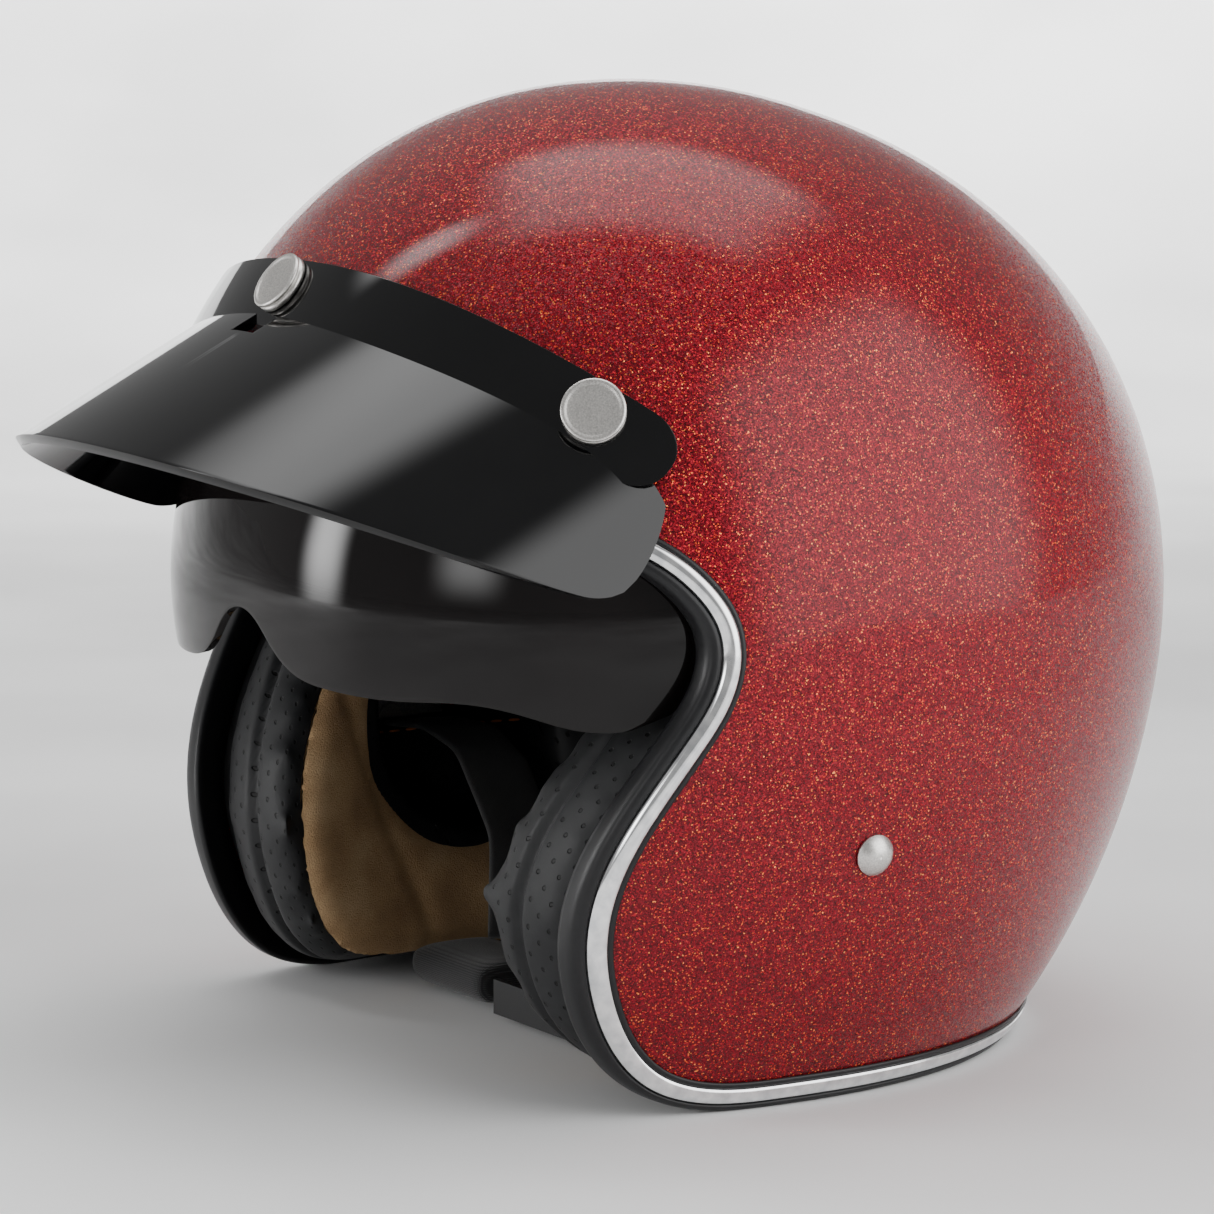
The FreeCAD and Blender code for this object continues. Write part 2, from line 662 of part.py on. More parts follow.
strap_route = [V(105.5, -5, -44), V(92, 2, -45), V(76, 3, -51), V(52, -1, -72), V(34, -12, -92)]
strap_wides = [V(0, 1, 0), V(0, 1, -0.1), V(0, 1, -0.25), V(0, 1, -0.4), V(0, 1, -0.15)]


def rounded_bar(low, high, radius):
    """Box with its long edges rounded, between two corners."""
    bar = Part.makeBox(high.x - low.x, high.y - low.y, high.z - low.z, low)
    return bar.makeFillet(radius, [e for e in bar.Edges if abs(e.Length - (high.x - low.x)) < 0.01])


for side, name in ((1, "left"), (-1, "right")):
    route = [V(p.x * side, p.y, p.z) for p in strap_route]
    keep(ribbon(route, strap_wides, dim("strap_gauge")), "chin_strap_" + name)
FLOOR = dim("buckle_floor") - dim("centre_height")
BUCKLE_Y = -22.0
SLEEVE_TOP = FLOOR + 10.5
keep(rounded_bar(V(-57, BUCKLE_Y - 13, FLOOR), V(-20, BUCKLE_Y + 13, SLEEVE_TOP), 4.0), "strap_sleeve_right")
keep(rounded_bar(V(33, BUCKLE_Y - 13, FLOOR), V(57, BUCKLE_Y + 13, SLEEVE_TOP), 4.0), "strap_sleeve_left")

# ratchet buckle: a channel with side walls, a pawl lever on a pin, and a toothed tongue
LENGTH = dim("buckle_length")
WIDTH = dim("buckle_width")
HEIGHT = dim("buckle_height")
BUCKLE_X = -12.0
WALL = dim("buckle_wall")
low = V(BUCKLE_X, BUCKLE_Y - WIDTH / 2, FLOOR)
block = box("HousingBlock", low, "Dims.buckle_length", "Dims.buckle_width", "Dims.buckle_height")
channel = box("HousingChannel", V(low.x - 1, low.y + WALL, low.z + dim("buckle_base")), "Dims.buckle_length + 2",
              "Dims.buckle_width - 2 * Dims.buckle_wall", "Dims.buckle_height")
PIN_X = BUCKLE_X + LENGTH - 8.0
PIN_Z = FLOOR + HEIGHT - 2.6
bore = cylinder("HousingBore", V(PIN_X, low.y - 1, PIN_Z), V(0, 1, 0), "Dims.pin_radius", "Dims.buckle_width + 2")
housing = cut("Housing", cut("HousingShell", block, channel), bore)
finish(housing, "buckle_housing")
pin = cylinder("PawlPin", V(PIN_X, low.y + 0.02, PIN_Z), V(0, 1, 0), "Dims.pin_radius", "Dims.buckle_width - 0.04")
finish(pin, "buckle_pin")

LEVER = dim("lever_length")
lever_low = V(PIN_X + 3.0 - LEVER, low.y + WALL + 0.4, PIN_Z - 1.0)
lever_plate = box("LeverPlate", lever_low, "Dims.lever_length", "Dims.buckle_width - 2 * Dims.buckle_wall - 0.8",
                  "Dims.lever_gauge")
lever_knuckle = cylinder("LeverKnuckle", V(PIN_X, lever_low.y, PIN_Z), V(0, 1, 0), "Dims.pin_radius + 1.6",
                         "Dims.buckle_width - 2 * Dims.buckle_wall - 0.8")
lever_bore = cylinder("LeverBore", V(PIN_X, lever_low.y - 1, PIN_Z), V(0, 1, 0), "Dims.pin_radius + 0.05",
                      "Dims.buckle_width")
finish(cut("Lever", fuse("LeverBody", [lever_plate, lever_knuckle]), lever_bore), "buckle_lever")
leaf = box("Leaf", V(BUCKLE_X + 5, BUCKLE_Y - 4, PIN_Z - 1.0 - 0.75), "14", "8", "0.4")
finish(leaf, "buckle_spring")

TONGUE_LOW = V(BUCKLE_X - 7.0, BUCKLE_Y - 8.5, FLOOR + dim("buckle_base") + 0.15)
tongue_plate = box("TonguePlate", TONGUE_LOW, "Dims.tongue_length", "17", "Dims.tongue_gauge * 0.5")
teeth = []
for number in range(8):
    tooth = doc.addObject("Part::Wedge", "Tooth_%d" % number)
    tooth.Xmin, tooth.Xmax, tooth.X2min, tooth.X2max = 0, 3.0, 2.6, 3.0
    tooth.Ymin, tooth.Ymax = 0, 1.3
    tooth.Zmin, tooth.Zmax, tooth.Z2min, tooth.Z2max = 0, 12, 0, 12
    tooth_at = TONGUE_LOW + V(10.0 + 3.2 * number, 14.5, dim("tongue_gauge") * 0.5)
    tooth.Placement = FreeCAD.Placement(origin(tooth_at.x, tooth_at.y, tooth_at.z),
                                        FreeCAD.Rotation(V(1, 0, 0), 90))
    teeth.append(tooth)
finish(fuse("Tongue", [tongue_plate] + teeth), "ratchet_tongue")

# ---------------------------------------------------------------- write the files
doc.recompute()
for obj in NODES:
    if "Invalid" in obj.State or "Error" in obj.State:
        raise RuntimeError("%s failed: %s" % (obj.Label, obj.State))
    if obj.Shape.isNull() or not obj.Shape.isValid() or obj.Shape.Volume <= 0:
        raise RuntimeError("%s has no valid shape" % obj.Label)
for obj in NODES:
    obj.Shape.exportStep("parts/%s.step" % obj.Label)
    box = obj.Shape.optimalBoundingBox(False)
    print("%-22s %8.1f cm3  solids %d  x %.1f %.1f  y %.1f %.1f  z %.1f %.1f" % (
        obj.Label, obj.Shape.Volume / 1000.0, len(obj.Shape.Solids),
        box.XMin, box.XMax, box.YMin, box.YMax, box.ZMin, box.ZMax))
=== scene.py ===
import json
import math

import bmesh
import bpy
import numpy as np
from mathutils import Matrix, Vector

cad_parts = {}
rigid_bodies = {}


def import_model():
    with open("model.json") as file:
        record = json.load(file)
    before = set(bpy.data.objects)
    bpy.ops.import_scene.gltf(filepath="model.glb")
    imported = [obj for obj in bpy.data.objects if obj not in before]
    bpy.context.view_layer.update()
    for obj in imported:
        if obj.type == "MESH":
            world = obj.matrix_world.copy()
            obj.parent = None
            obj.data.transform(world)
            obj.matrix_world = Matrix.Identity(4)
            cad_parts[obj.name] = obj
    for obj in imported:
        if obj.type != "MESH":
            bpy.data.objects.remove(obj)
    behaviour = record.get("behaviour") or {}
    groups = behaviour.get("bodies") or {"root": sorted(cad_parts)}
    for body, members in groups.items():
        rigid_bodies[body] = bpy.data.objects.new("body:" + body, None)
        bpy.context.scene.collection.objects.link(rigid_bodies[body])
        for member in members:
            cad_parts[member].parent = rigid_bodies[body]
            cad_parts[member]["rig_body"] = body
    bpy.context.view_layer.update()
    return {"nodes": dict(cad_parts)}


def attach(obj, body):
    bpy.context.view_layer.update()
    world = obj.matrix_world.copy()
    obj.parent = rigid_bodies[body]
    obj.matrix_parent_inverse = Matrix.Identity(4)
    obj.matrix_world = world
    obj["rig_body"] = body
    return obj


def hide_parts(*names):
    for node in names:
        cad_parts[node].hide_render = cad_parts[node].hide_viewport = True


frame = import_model()
NODES = frame["nodes"]
HELMET, VISOR, PEAK = "helmet", "visor", "peak"

# ------------------------------------------------------------------ shared shape numbers, millimetres
FORWARD, RISE = 10.9, 106.95
HALF_WIDTH, FRONT, BACK, CROWN = 121.0, 124.8, 135.8, 132.8
DEPTH_SIDE, DEPTH_BACK, DEPTH_FRONT = 192.4, 151.0, 158.0
CROWN_POWER, PLAN_POWER = 2.16, 2.18
LEAN_COS, LEAN_SIN = math.cos(math.radians(15.3)), math.sin(math.radians(15.3))
# side view of the painted edge, from ahead of the brow round the cheek to behind the nape
EDGE = [(-140, 49.5), (-115, 47.5), (-94, 44), (-75, 38.5), (-60, 31), (-50.5, 22), (-45.5, 13),
        (-44.5, 4), (-47.5, -7), (-54, -18), (-61, -29), (-67, -40.5), (-70.5, -52), (-71, -63),
        (-68.5, -75), (-63.5, -86), (-55, -95), (-43, -99.2), (-25, -100), (0, -100), (40, -100),
        (100, -100), (160, -100)]


def placed(points):
    """Level millimetres about the dome's centre, as metres in the row frame."""
    points = np.asarray(points, float)
    return (points + np.array([0.0, FORWARD, RISE])) / 1000.0


def level(points):
    """Metres in the row frame, as level millimetres about the dome's centre."""
    return np.asarray(points, float) * 1000.0 - np.array([0.0, FORWARD, RISE])


def wall_depth(toward_front, inset):
    """Depth of the lower wall's ellipse for a direction."""
    front = np.maximum(toward_front, 0) ** 2
    back = np.maximum(-toward_front, 0) ** 2
    return DEPTH_FRONT * front + DEPTH_BACK * back + DEPTH_SIDE * (1 - front - back) - 0.3 * inset


def dome_x(y, z, inset):
    """Half width of the dome at a side-view place, or nan outside its outline."""
    y, z, inset = np.broadcast_arrays(np.asarray(y, float), np.asarray(z, float), np.asarray(inset, float))
    yd = y * LEAN_COS - z * LEAN_SIN
    zd = y * LEAN_SIN + z * LEAN_COS
    wide = HALF_WIDTH - inset
    length = np.where(yd < 0, FRONT, BACK) - inset
    up = np.clip(zd / (CROWN - inset), 0, 1)
    share_up = (1 - up ** CROWN_POWER) ** (1 / CROWN_POWER)
    x = wide * 0.6
    for _ in range(14):
        cos = -yd / length
        cos = cos / np.maximum(np.hypot(cos, x / wide), 1e-9)
        share_low = np.sqrt(np.clip(1 - (zd / wall_depth(cos, inset)) ** 2, 1e-9, 1))
        share = np.where(zd >= 0, share_up, share_low)
        ratio = np.abs(yd) / np.maximum(length * share, 1e-9)
        x = wide * share * (1 - np.clip(ratio, 0, 1) ** PLAN_POWER) ** (1 / PLAN_POWER)
    return np.where((ratio < 1) & (share > 1e-4), x, np.nan)


def dome_grid(inset, around=420, upper=130, lower=120):
    """Grid of points on the dome at a depth, crown to wall bottom."""
    azimuth = np.linspace(0, 2 * math.pi, around, endpoint=False)[:, None]
    toward = np.cos(azimuth)
    length = np.where(toward > 0, FRONT, BACK) - inset
    plan = (np.abs(np.sin(azimuth)) ** PLAN_POWER + np.abs(toward) ** PLAN_POWER) ** (-1 / PLAN_POWER)
    wide = (HALF_WIDTH - inset) * plan * np.sin(azimuth)
    deep = length * plan * toward
    angle = np.radians(np.linspace(0.35, 90, upper))[None, :]
    share = np.sin(angle)
    height = (CROWN - inset) * (1 - share ** CROWN_POWER) ** (1 / CROWN_POWER)
    drop = (110 + 24 * toward) * np.linspace(0, 1, lower + 1)[None, 1:]
    low = np.sqrt(1 - (drop / wall_depth(toward, inset)) ** 2)
    share = np.concatenate([np.repeat(share, around, 0), low], 1)
    zd = np.concatenate([np.repeat(height, around, 0), -drop], 1)
    x = wide * share
    yd = -deep * share
    return np.stack([x, yd * LEAN_COS + zd * LEAN_SIN, -yd * LEAN_SIN + zd * LEAN_COS], -1)


def spline(points, count):
    """Natural cubic through side-view points, by chord length."""
    points = np.array(points, float)
    knots = np.concatenate([[0], np.cumsum(np.hypot(*np.diff(points, axis=0).T))])
    n = len(points)
    step = np.diff(knots)
    matrix = np.eye(n)
    right = np.zeros_like(points)
    for i in range(1, n - 1):
        matrix[i, i - 1:i + 2] = step[i - 1], 2 * (step[i - 1] + step[i]), step[i]
        right[i] = 6 * ((points[i + 1] - points[i]) / step[i] - (points[i] - points[i - 1]) / step[i - 1])
    bend = np.linalg.solve(matrix, right)
    place = np.linspace(0, knots[-1], count)
    i = np.clip(np.searchsorted(knots, place, side="right") - 1, 0, n - 2)
    a = (knots[i + 1] - place)[:, None]
    b = (place - knots[i])[:, None]
    h = step[i][:, None]
    return (bend[i] * a ** 3 + bend[i + 1] * b ** 3) / (6 * h) \
        + (points[i] / h - bend[i] * h / 6) * a + (points[i + 1] / h - bend[i + 1] * h / 6) * b


EDGE_LINE = spline(EDGE, 1400)
EDGE_TANGENT = np.gradient(EDGE_LINE, axis=0)
EDGE_TANGENT /= np.hypot(*EDGE_TANGENT.T)[:, None]
EDGE_NORMAL = np.stack([EDGE_TANGENT[:, 1], -EDGE_TANGENT[:, 0]], 1)


def past_edge(y, z):
    """Distance past the painted edge in the side view, and how far along the edge."""
    flat = np.stack([np.ravel(y), np.ravel(z)], 1)
    out = np.empty(len(flat))
    along = np.empty(len(flat))
    coarse = EDGE_LINE[::4]
    for start in range(0, len(flat), 20000):
        part = flat[start:start + 20000]
        gap = ((part[:, None, :] - coarse[None]) ** 2).sum(-1)
        near = gap.argmin(1) * 4
        offset = part - EDGE_LINE[near]
        side = (offset * EDGE_NORMAL[near]).sum(1)
        out[start:start + 20000] = np.where(np.abs(side) < 3, side, np.sign(side) * np.sqrt(gap.min(1)))
        along[start:start + 20000] = near * 0.3375 + (offset * EDGE_TANGENT[near]).sum(1)
    return out.reshape(np.shape(y)), along.reshape(np.shape(y))


def half_curve(side_view, inset, count, closes=True):
    """Curve on the dome's left half from the middle plane, and back to it where it closes."""
    u = np.linspace(0, 1, 1200)
    valid = np.isfinite(dome_x(*side_view(u), inset))
    first = np.argmax(valid)
    last = len(u) - 1 - np.argmax(valid[::-1])

    def limit(outside, inside):
        for _ in range(30):
            middle = (outside + inside) / 2
            if np.isfinite(dome_x(*side_view(np.array([middle])), inset))[0]:
                inside = middle
            else:
                outside = middle
        return inside

    low = limit(u[max(first - 1, 0)], u[first])
    t = np.linspace(0, 1, count)
    if closes:
        high = limit(u[min(last + 1, len(u) - 1)], u[last])
        place = low + (high - low) * (0.5 - 0.5 * np.cos(math.pi * t))
    else:
        place = low + (1 - low) * t ** 2
    y, z = side_view(place)
    x = np.nan_to_num(dome_x(y, z, inset))
    x[0] = 0
    if closes:
        x[-1] = 0
    return np.stack([x, y, z], 1)


# ------------------------------------------------------------------ mesh helpers
def made(name, points, faces, material, body=HELMET, smooth=True, replaces=(), slot=None):
    """Mesh object from level millimetres that rides on a body."""
    mesh = bpy.data.meshes.new(name)
    mesh.from_pydata(placed(points).tolist(), [], [list(map(int, f)) for f in faces])
    mesh.update()
    if smooth:
        mesh.polygons.foreach_set("use_smooth", [True] * len(mesh.polygons))
    obj = bpy.data.objects.new(name, mesh)
    bpy.context.scene.collection.objects.link(obj)
    mesh.materials.append(material)
    return dressed(obj, body, replaces)


def dressed(obj, body, replaces):
    """Tells the frame what a piece rides on and stands for."""
    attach(obj, body)
    if replaces:
        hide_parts(*replaces)
    return obj


def outward(obj):
    """Consistent outward normals, merging doubled points."""
    bm = bmesh.new()
    bm.from_mesh(obj.data)
    bmesh.ops.remove_doubles(bm, verts=bm.verts, dist=1e-6)
    bmesh.ops.recalc_face_normals(bm, faces=bm.faces)
    bm.to_mesh(obj.data)
    bm.free()
    return obj


def applied(obj):
    """Keeps the result of an object's modifiers as its mesh."""
    graph = bpy.context.evaluated_depsgraph_get()
    mesh = bpy.data.meshes.new_from_object(obj.evaluated_get(graph), depsgraph=graph)
    obj.modifiers.clear()
    obj.data = mesh
    return obj


def thickened(obj, gauge, bevel=0.0, segments=3):
    """Gives a sheet its thickness inwards and rounds its edges."""
    solid = obj.modifiers.new("gauge", "SOLIDIFY")
    solid.thickness = gauge / 1000
    solid.offset = -1
    if bevel:
        rounded(obj, bevel, segments)
    return applied(obj)


def rounded(obj, bevel, segments=3):
    """Rounds sharp edges."""
    edge = obj.modifiers.new("round", "BEVEL")
    edge.width = bevel / 1000
    edge.segments = segments
    edge.limit_method = "ANGLE"
    edge.angle_limit = math.radians(45)
    edge.use_clamp_overlap = True
    edge.harden_normals = False


def grid_faces(rows, columns, wrap_rows=False, wrap_columns=False):
    """Quads of a grid of points stored row by row."""
    faces = []
    for r in range(rows if wrap_rows else rows - 1):
        nr = (r + 1) % rows
        for c in range(columns if wrap_columns else columns - 1):
            nc = (c + 1) % columns
            faces.append((r * columns + c, r * columns + nc, nr * columns + nc, nr * columns + c))
    return faces


def clipped(points, faces, keep):
    """Part of a mesh where keep is positive, cut along its zero line."""
    points = [tuple(p) for p in points]
    keep = np.asarray(keep, float)
    result = []
    cuts = {}

    def crossing(a, b):
        key = (a, b) if a < b else (b, a)
        if key not in cuts:
            share = keep[a] / (keep[a] - keep[b])
            cuts[key] = len(points)
            points.append(tuple(np.array(points[a]) * (1 - share) + np.array(points[b]) * share))
        return cuts[key]

    for face in faces:
        inside = [keep[i] > 0 for i in face]
        if all(inside):
            result.append(face)
        elif any(inside):
            shape = []
            for k, here in enumerate(face):
                after = face[(k + 1) % len(face)]
                if keep[here] > 0:
                    shape.append(here)
                if (keep[here] > 0) != (keep[after] > 0):
                    shape.append(crossing(here, after))
            if len(shape) > 2:
                result.append(tuple(shape))
    used = sorted({i for f in result for i in f})
    where = {old: new for new, old in enumerate(used)}
    return np.array([points[i] for i in used]), [tuple(where[i] for i in f) for f in result]


def mirrored_loop(half):
    """Closed loop from the left half's open curve."""
    other = half[-2:0:-1] * np.array([-1, 1, 1])
    return np.concatenate([half, other])


FACE_SHARE = np.clip((EDGE_LINE[:, 1] + 99) / 14, 0, 1) ** 2
FACE_SHARE = np.convolve(np.pad(FACE_SHARE, 30, mode="edge"), np.ones(61) / 61, "valid")


def edge_loop(offset, inset, count=420):
    """Closed loop around the helmet at a distance past the painted edge and a depth.

    The bead past the chrome grows fuller round the face opening.
    """
    fuller = FACE_SHARE * max(offset - 5.3, 0) * 0.8
    line = EDGE_LINE + EDGE_NORMAL * (offset + fuller)[:, None]
    place = np.linspace(0, 1, len(line))

    def side_view(u):
        return np.interp(u, place, line[:, 0]), np.interp(u, place, line[:, 1])

    return mirrored_loop(half_curve(side_view, inset, count))


def edge_sweep(name, section, material, **kwargs):
    """Solid ring that follows the painted edge with a section of (distance, depth) corners."""
    loops = [edge_loop(offset, inset) for offset, inset in section]
    count = len(loops[0])
    obj = made(name, np.concatenate(loops), grid_faces(len(loops), count, True, True), material, **kwargs)
    return outward(obj)


def turned(name, profile, places, material, steps=48, **kwargs):
    """Turned pieces from a (radius, height) profile, one at each place and axis."""
    points, faces = [], []
    for point, axis in places:
        axis = np.array(axis) / np.linalg.norm(axis)
        side = np.cross(axis, [0.3, 0.2, 1.0])
        side /= np.linalg.norm(side)
        other = np.cross(axis, side)
        base = len(points)
        for radius, height in profile:
            for k in range(steps):
                angle = 2 * math.pi * k / steps
                points.append(np.array(point) + axis * height
                              + (side * math.cos(angle) + other * math.sin(angle)) * radius)
        faces += [tuple(base + i for i in f) for f in grid_faces(len(profile), steps, False, True)]
        faces.append(tuple(base + k for k in range(steps)))
        faces.append(tuple(base + (len(profile) - 1) * steps + k for k in reversed(range(steps))))
    return outward(made(name, points, faces, material, **kwargs))


# ------------------------------------------------------------------ finishes
class Finish:
    """Small helper around one material's nodes."""

    def __init__(self, name, color, rough, metal=0.0, **inputs):
        self.material = bpy.data.materials.new(name)
        self.material.use_nodes = True
        self.tree = self.material.node_tree
        self.surface = self.tree.nodes["Principled BSDF"]
        self.surface.inputs["Base Color"].default_value = (*color, 1)
        self.surface.inputs["Roughness"].default_value = rough
        self.surface.inputs["Metallic"].default_value = metal
        for key, value in inputs.items():
            self.surface.inputs[key.replace("_", " ")].default_value = value

    def node(self, kind, **settings):
        node = self.tree.nodes.new(kind)
        for key, value in settings.items():
            setattr(node, key, value)
        return node

    def link(self, source, target):
        self.tree.links.new(source, target)

    def value(self, operation, a, b=None, c=None):
        node = self.node("ShaderNodeMath", operation=operation)
        for slot, item in zip(node.inputs, (a, b, c)):
            if item is None:
                continue
            if isinstance(item, (int, float)):
                slot.default_value = item
            else:
                self.link(item, slot)
        return node.outputs[0]

    def place(self, uv=None):
        node = self.node("ShaderNodeTexCoord") if uv is None else self.node("ShaderNodeUVMap", uv_map=uv)
        return node.outputs["Object" if uv is None else "UV"]

    def noise(self, scale, detail=3.0, uv=None):
        node = self.node("ShaderNodeTexNoise")
        node.inputs["Scale"].default_value = scale
        node.inputs["Detail"].default_value = detail
        self.link(self.place(uv), node.inputs["Vector"])
        return node.outputs["Fac"]

    def ramp(self, source, stops):
        node = self.node("ShaderNodeValToRGB")
        band = node.color_ramp
        while len(band.elements) < len(stops):
            band.elements.new(0.5)
        for element, (place, color) in zip(band.elements, stops):
            element.position = place
            element.color = (*color, 1)
        self.link(source, node.inputs["Fac"])
        return node.outputs["Color"]

    def bump(self, height, distance, strength=1.0, target="Normal", normal=None):
        node = self.node("ShaderNodeBump")
        node.inputs["Strength"].default_value = strength
        node.inputs["Distance"].default_value = distance
        self.link(height, node.inputs["Height"])
        if normal is not None:
            self.link(normal, node.inputs["Normal"])
        self.link(node.outputs["Normal"], self.surface.inputs[target])
        return node.outputs["Normal"]


def flake_paint():
    """Crimson metal flake under a clear coat: each flake has its own colour and tilt."""
    f = Finish("paint_red_flake", (0.3, 0.004, 0.012), 0.34, 0.55, Coat_Weight=0.55, Coat_Roughness=0.012,
               Coat_IOR=1.38, Specular_IOR_Level=0.15)
    cells = f.node("ShaderNodeTexVoronoi", feature="F1", distance="EUCLIDEAN")
    cells.inputs["Scale"].default_value = 3300
    f.link(f.place(), cells.inputs["Vector"])
    split = f.node("ShaderNodeSeparateColor")
    f.link(cells.outputs["Color"], split.inputs["Color"])
    color = f.ramp(split.outputs["Red"], [(0.0, (0.06, 0.0004, 0.003)), (0.45, (0.15, 0.0008, 0.007)),
                                          (0.84, (0.25, 0.002, 0.012)), (0.94, (0.45, 0.008, 0.016)),
                                          (0.978, (0.85, 0.10, 0.02)), (1.0, (1.0, 0.32, 0.08))])
    f.link(color, f.surface.inputs["Base Color"])
    tilt = f.node("ShaderNodeVectorMath", operation="SUBTRACT")
    f.link(cells.outputs["Color"], tilt.inputs[0])
    tilt.inputs[1].default_value = (0.5, 0.5, 0.5)
    scaled = f.node("ShaderNodeVectorMath", operation="SCALE")
    f.link(tilt.outputs[0], scaled.inputs[0])
    scaled.inputs["Scale"].default_value = 0.75
    geometry = f.node("ShaderNodeNewGeometry")
    added = f.node("ShaderNodeVectorMath", operation="ADD")
    f.link(geometry.outputs["Normal"], added.inputs[0])
    f.link(scaled.outputs[0], added.inputs[1])
    unit = f.node("ShaderNodeVectorMath", operation="NORMALIZE")
    f.link(added.outputs[0], unit.inputs[0])
    f.link(unit.outputs[0], f.surface.inputs["Normal"])
    return f.material


def gloss_black():
    f = Finish("peak_gloss_black", (0.0015, 0.0015, 0.0018), 0.05, 0.0, Specular_IOR_Level=0.4)
    f.link(f.ramp(f.noise(60, 2.0), [(0.3, (0.0012, 0.0012, 0.0015)), (0.7, (0.002, 0.002, 0.0023))]),
           f.surface.inputs["Base Color"])
    return f.material


def worn(name, color, rough, metal=0.0, scale=900.0, spread=0.08, depth=0.00002, **inputs):
    """A plain finish with a fine grain in its roughness, colour and surface."""
    f = Finish(name, color, rough, metal, **inputs)
    grain = f.noise(scale)
    f.link(f.value("MULTIPLY_ADD", grain, spread, rough - spread / 2), f.surface.inputs["Roughness"])
    dark = tuple(c * 0.8 for c in color)
    light = tuple(min(c * 1.2, 1) for c in color)
    f.link(f.ramp(grain, [(0.3, dark), (0.7, light)]), f.surface.inputs["Base Color"])
    f.bump(grain, depth, 0.4)
    return f.material


def dots(f, pitch, radius, uv):
    """Mask of staggered round holes, 1 inside a hole."""
    split = f.node("ShaderNodeSeparateXYZ")
    f.link(f.place(uv), split.inputs[0])
    masks = []
    for shift in (0.0, 0.5):
        parts = []
        for source, step in (("X", pitch), ("Y", pitch)):
            turn = f.value("ADD", f.value("DIVIDE", split.outputs[source], step), shift + 100.0)
            cell = f.value("FRACT", turn)
            parts.append(f.value("MULTIPLY", f.value("SUBTRACT", cell, 0.5), step))
        away = f.value("SQRT", f.value("ADD", f.value("MULTIPLY", parts[0], parts[0]),
                                       f.value("MULTIPLY", parts[1], parts[1])))
        soft = f.node("ShaderNodeMapRange", interpolation_type="SMOOTHSTEP")
        f.link(away, soft.inputs["Value"])
        soft.inputs["From Min"].default_value = radius * 0.75
        soft.inputs["From Max"].default_value = radius * 1.2
        soft.inputs["To Min"].default_value = 1
        soft.inputs["To Max"].default_value = 0
        masks.append(soft.outputs[0])
    return f.value("MAXIMUM", masks[0], masks[1])


def leather():
    """Black leatherette with a fine grain and rows of small holes, each painted near-black as painted shade.
    """
    f = Finish("leather_perforated", (0.014, 0.0145, 0.016), 0.5, 0.0, Specular_IOR_Level=0.28)
    cells = f.node("ShaderNodeTexVoronoi", feature="DISTANCE_TO_EDGE")
    cells.inputs["Scale"].default_value = 1100
    f.link(f.place(), cells.inputs["Vector"])
    grain = f.bump(cells.outputs["Distance"], 0.00006, 0.35)
    mottled = f.ramp(f.noise(220), [(0.3, (0.011, 0.0113, 0.0122)), (0.7, (0.018, 0.0184, 0.0195))])
    holes = dots(f, 6.6, 0.55, "section")
    mix = f.node("ShaderNodeMix", data_type="RGBA")
    f.link(holes, mix.inputs["Factor"])
    f.link(mottled, mix.inputs["A"])
    # Inside each hole the colour is near-black: painted shade in the perforation, over the dimple the bump
    # gives.
    mix.inputs["B"].default_value = (0.002, 0.002, 0.002, 1)
    f.link(mix.outputs["Result"], f.surface.inputs["Base Color"])
    f.bump(f.value("SUBTRACT", 1.0, holes), 0.0006, 0.9, normal=grain)
    return f.material


def plush():
    """Tan short pile: soft lighter and darker patches of painted sheen where the pile lies differently, and
    fine fibre.
    """
    f = Finish("plush_tan", (0.26, 0.13, 0.045), 0.95, 0.0, Sheen_Weight=0.7, Sheen_Roughness=0.4)
    f.surface.inputs["Sheen Tint"].default_value = (0.75, 0.5, 0.25, 1)
    # The broad patches are painted sheen, lighter and darker where the pile lies differently; the fine noise
    # is the fibre's own tone.
    broad_sheen = f.value("MULTIPLY", f.noise(55, 5.0), 0.75)
    fine = f.value("MULTIPLY", f.noise(2600), 0.25)
    color = f.ramp(f.value("ADD", broad_sheen, fine), [(0.32, (0.25, 0.145, 0.068)), (0.5, (0.42, 0.265, 0.13)),
                                                 (0.68, (0.62, 0.43, 0.24))])
    f.link(color, f.surface.inputs["Base Color"])
    f.bump(f.noise(2400, 4.0), 0.0005, 0.8)
    return f.material


def weave(name, color, scale, depth, rough=0.8, uv=None, diagonal=False):
    """Woven cloth from two crossing bands, with painted shade in the weave's hollows and painted highlight on
    its crossings.
    """
    f = Finish(name, color, rough, 0.0, Sheen_Weight=0.25)
    waves = []
    for axis in (("DIAGONAL",) if diagonal else ("X", "Z")):
        wave = f.node("ShaderNodeTexWave", bands_direction=axis)
        wave.inputs["Scale"].default_value = scale
        wave.inputs["Distortion"].default_value = 0.4
        f.link(f.place(uv), wave.inputs["Vector"])
        waves.append(wave.outputs["Fac"])
    height = waves[0] if len(waves) == 1 else f.value("MULTIPLY", waves[0], waves[1])
    # Colour follows the weave's height: painted shade in the hollows, painted highlight on the raised
    # threads.
    dark = tuple(c * 0.45 for c in color)
    light = tuple(c * 1.5 for c in color)
    f.link(f.ramp(height, [(0.1, dark), (0.8, light)]), f.surface.inputs["Base Color"])
    f.bump(height, depth, 0.8)
    return f.material


def smoked():
    f = Finish("lens_smoked", (0.006, 0.005, 0.005), 0.02, 0.0, Transmission_Weight=0.12, IOR=1.34,
               Specular_IOR_Level=0.5)
    f.link(f.ramp(f.noise(25, 1.0), [(0.3, (0.005, 0.004, 0.004)), (0.7, (0.008, 0.006, 0.006))]),
           f.surface.inputs["Base Color"])
    return f.material


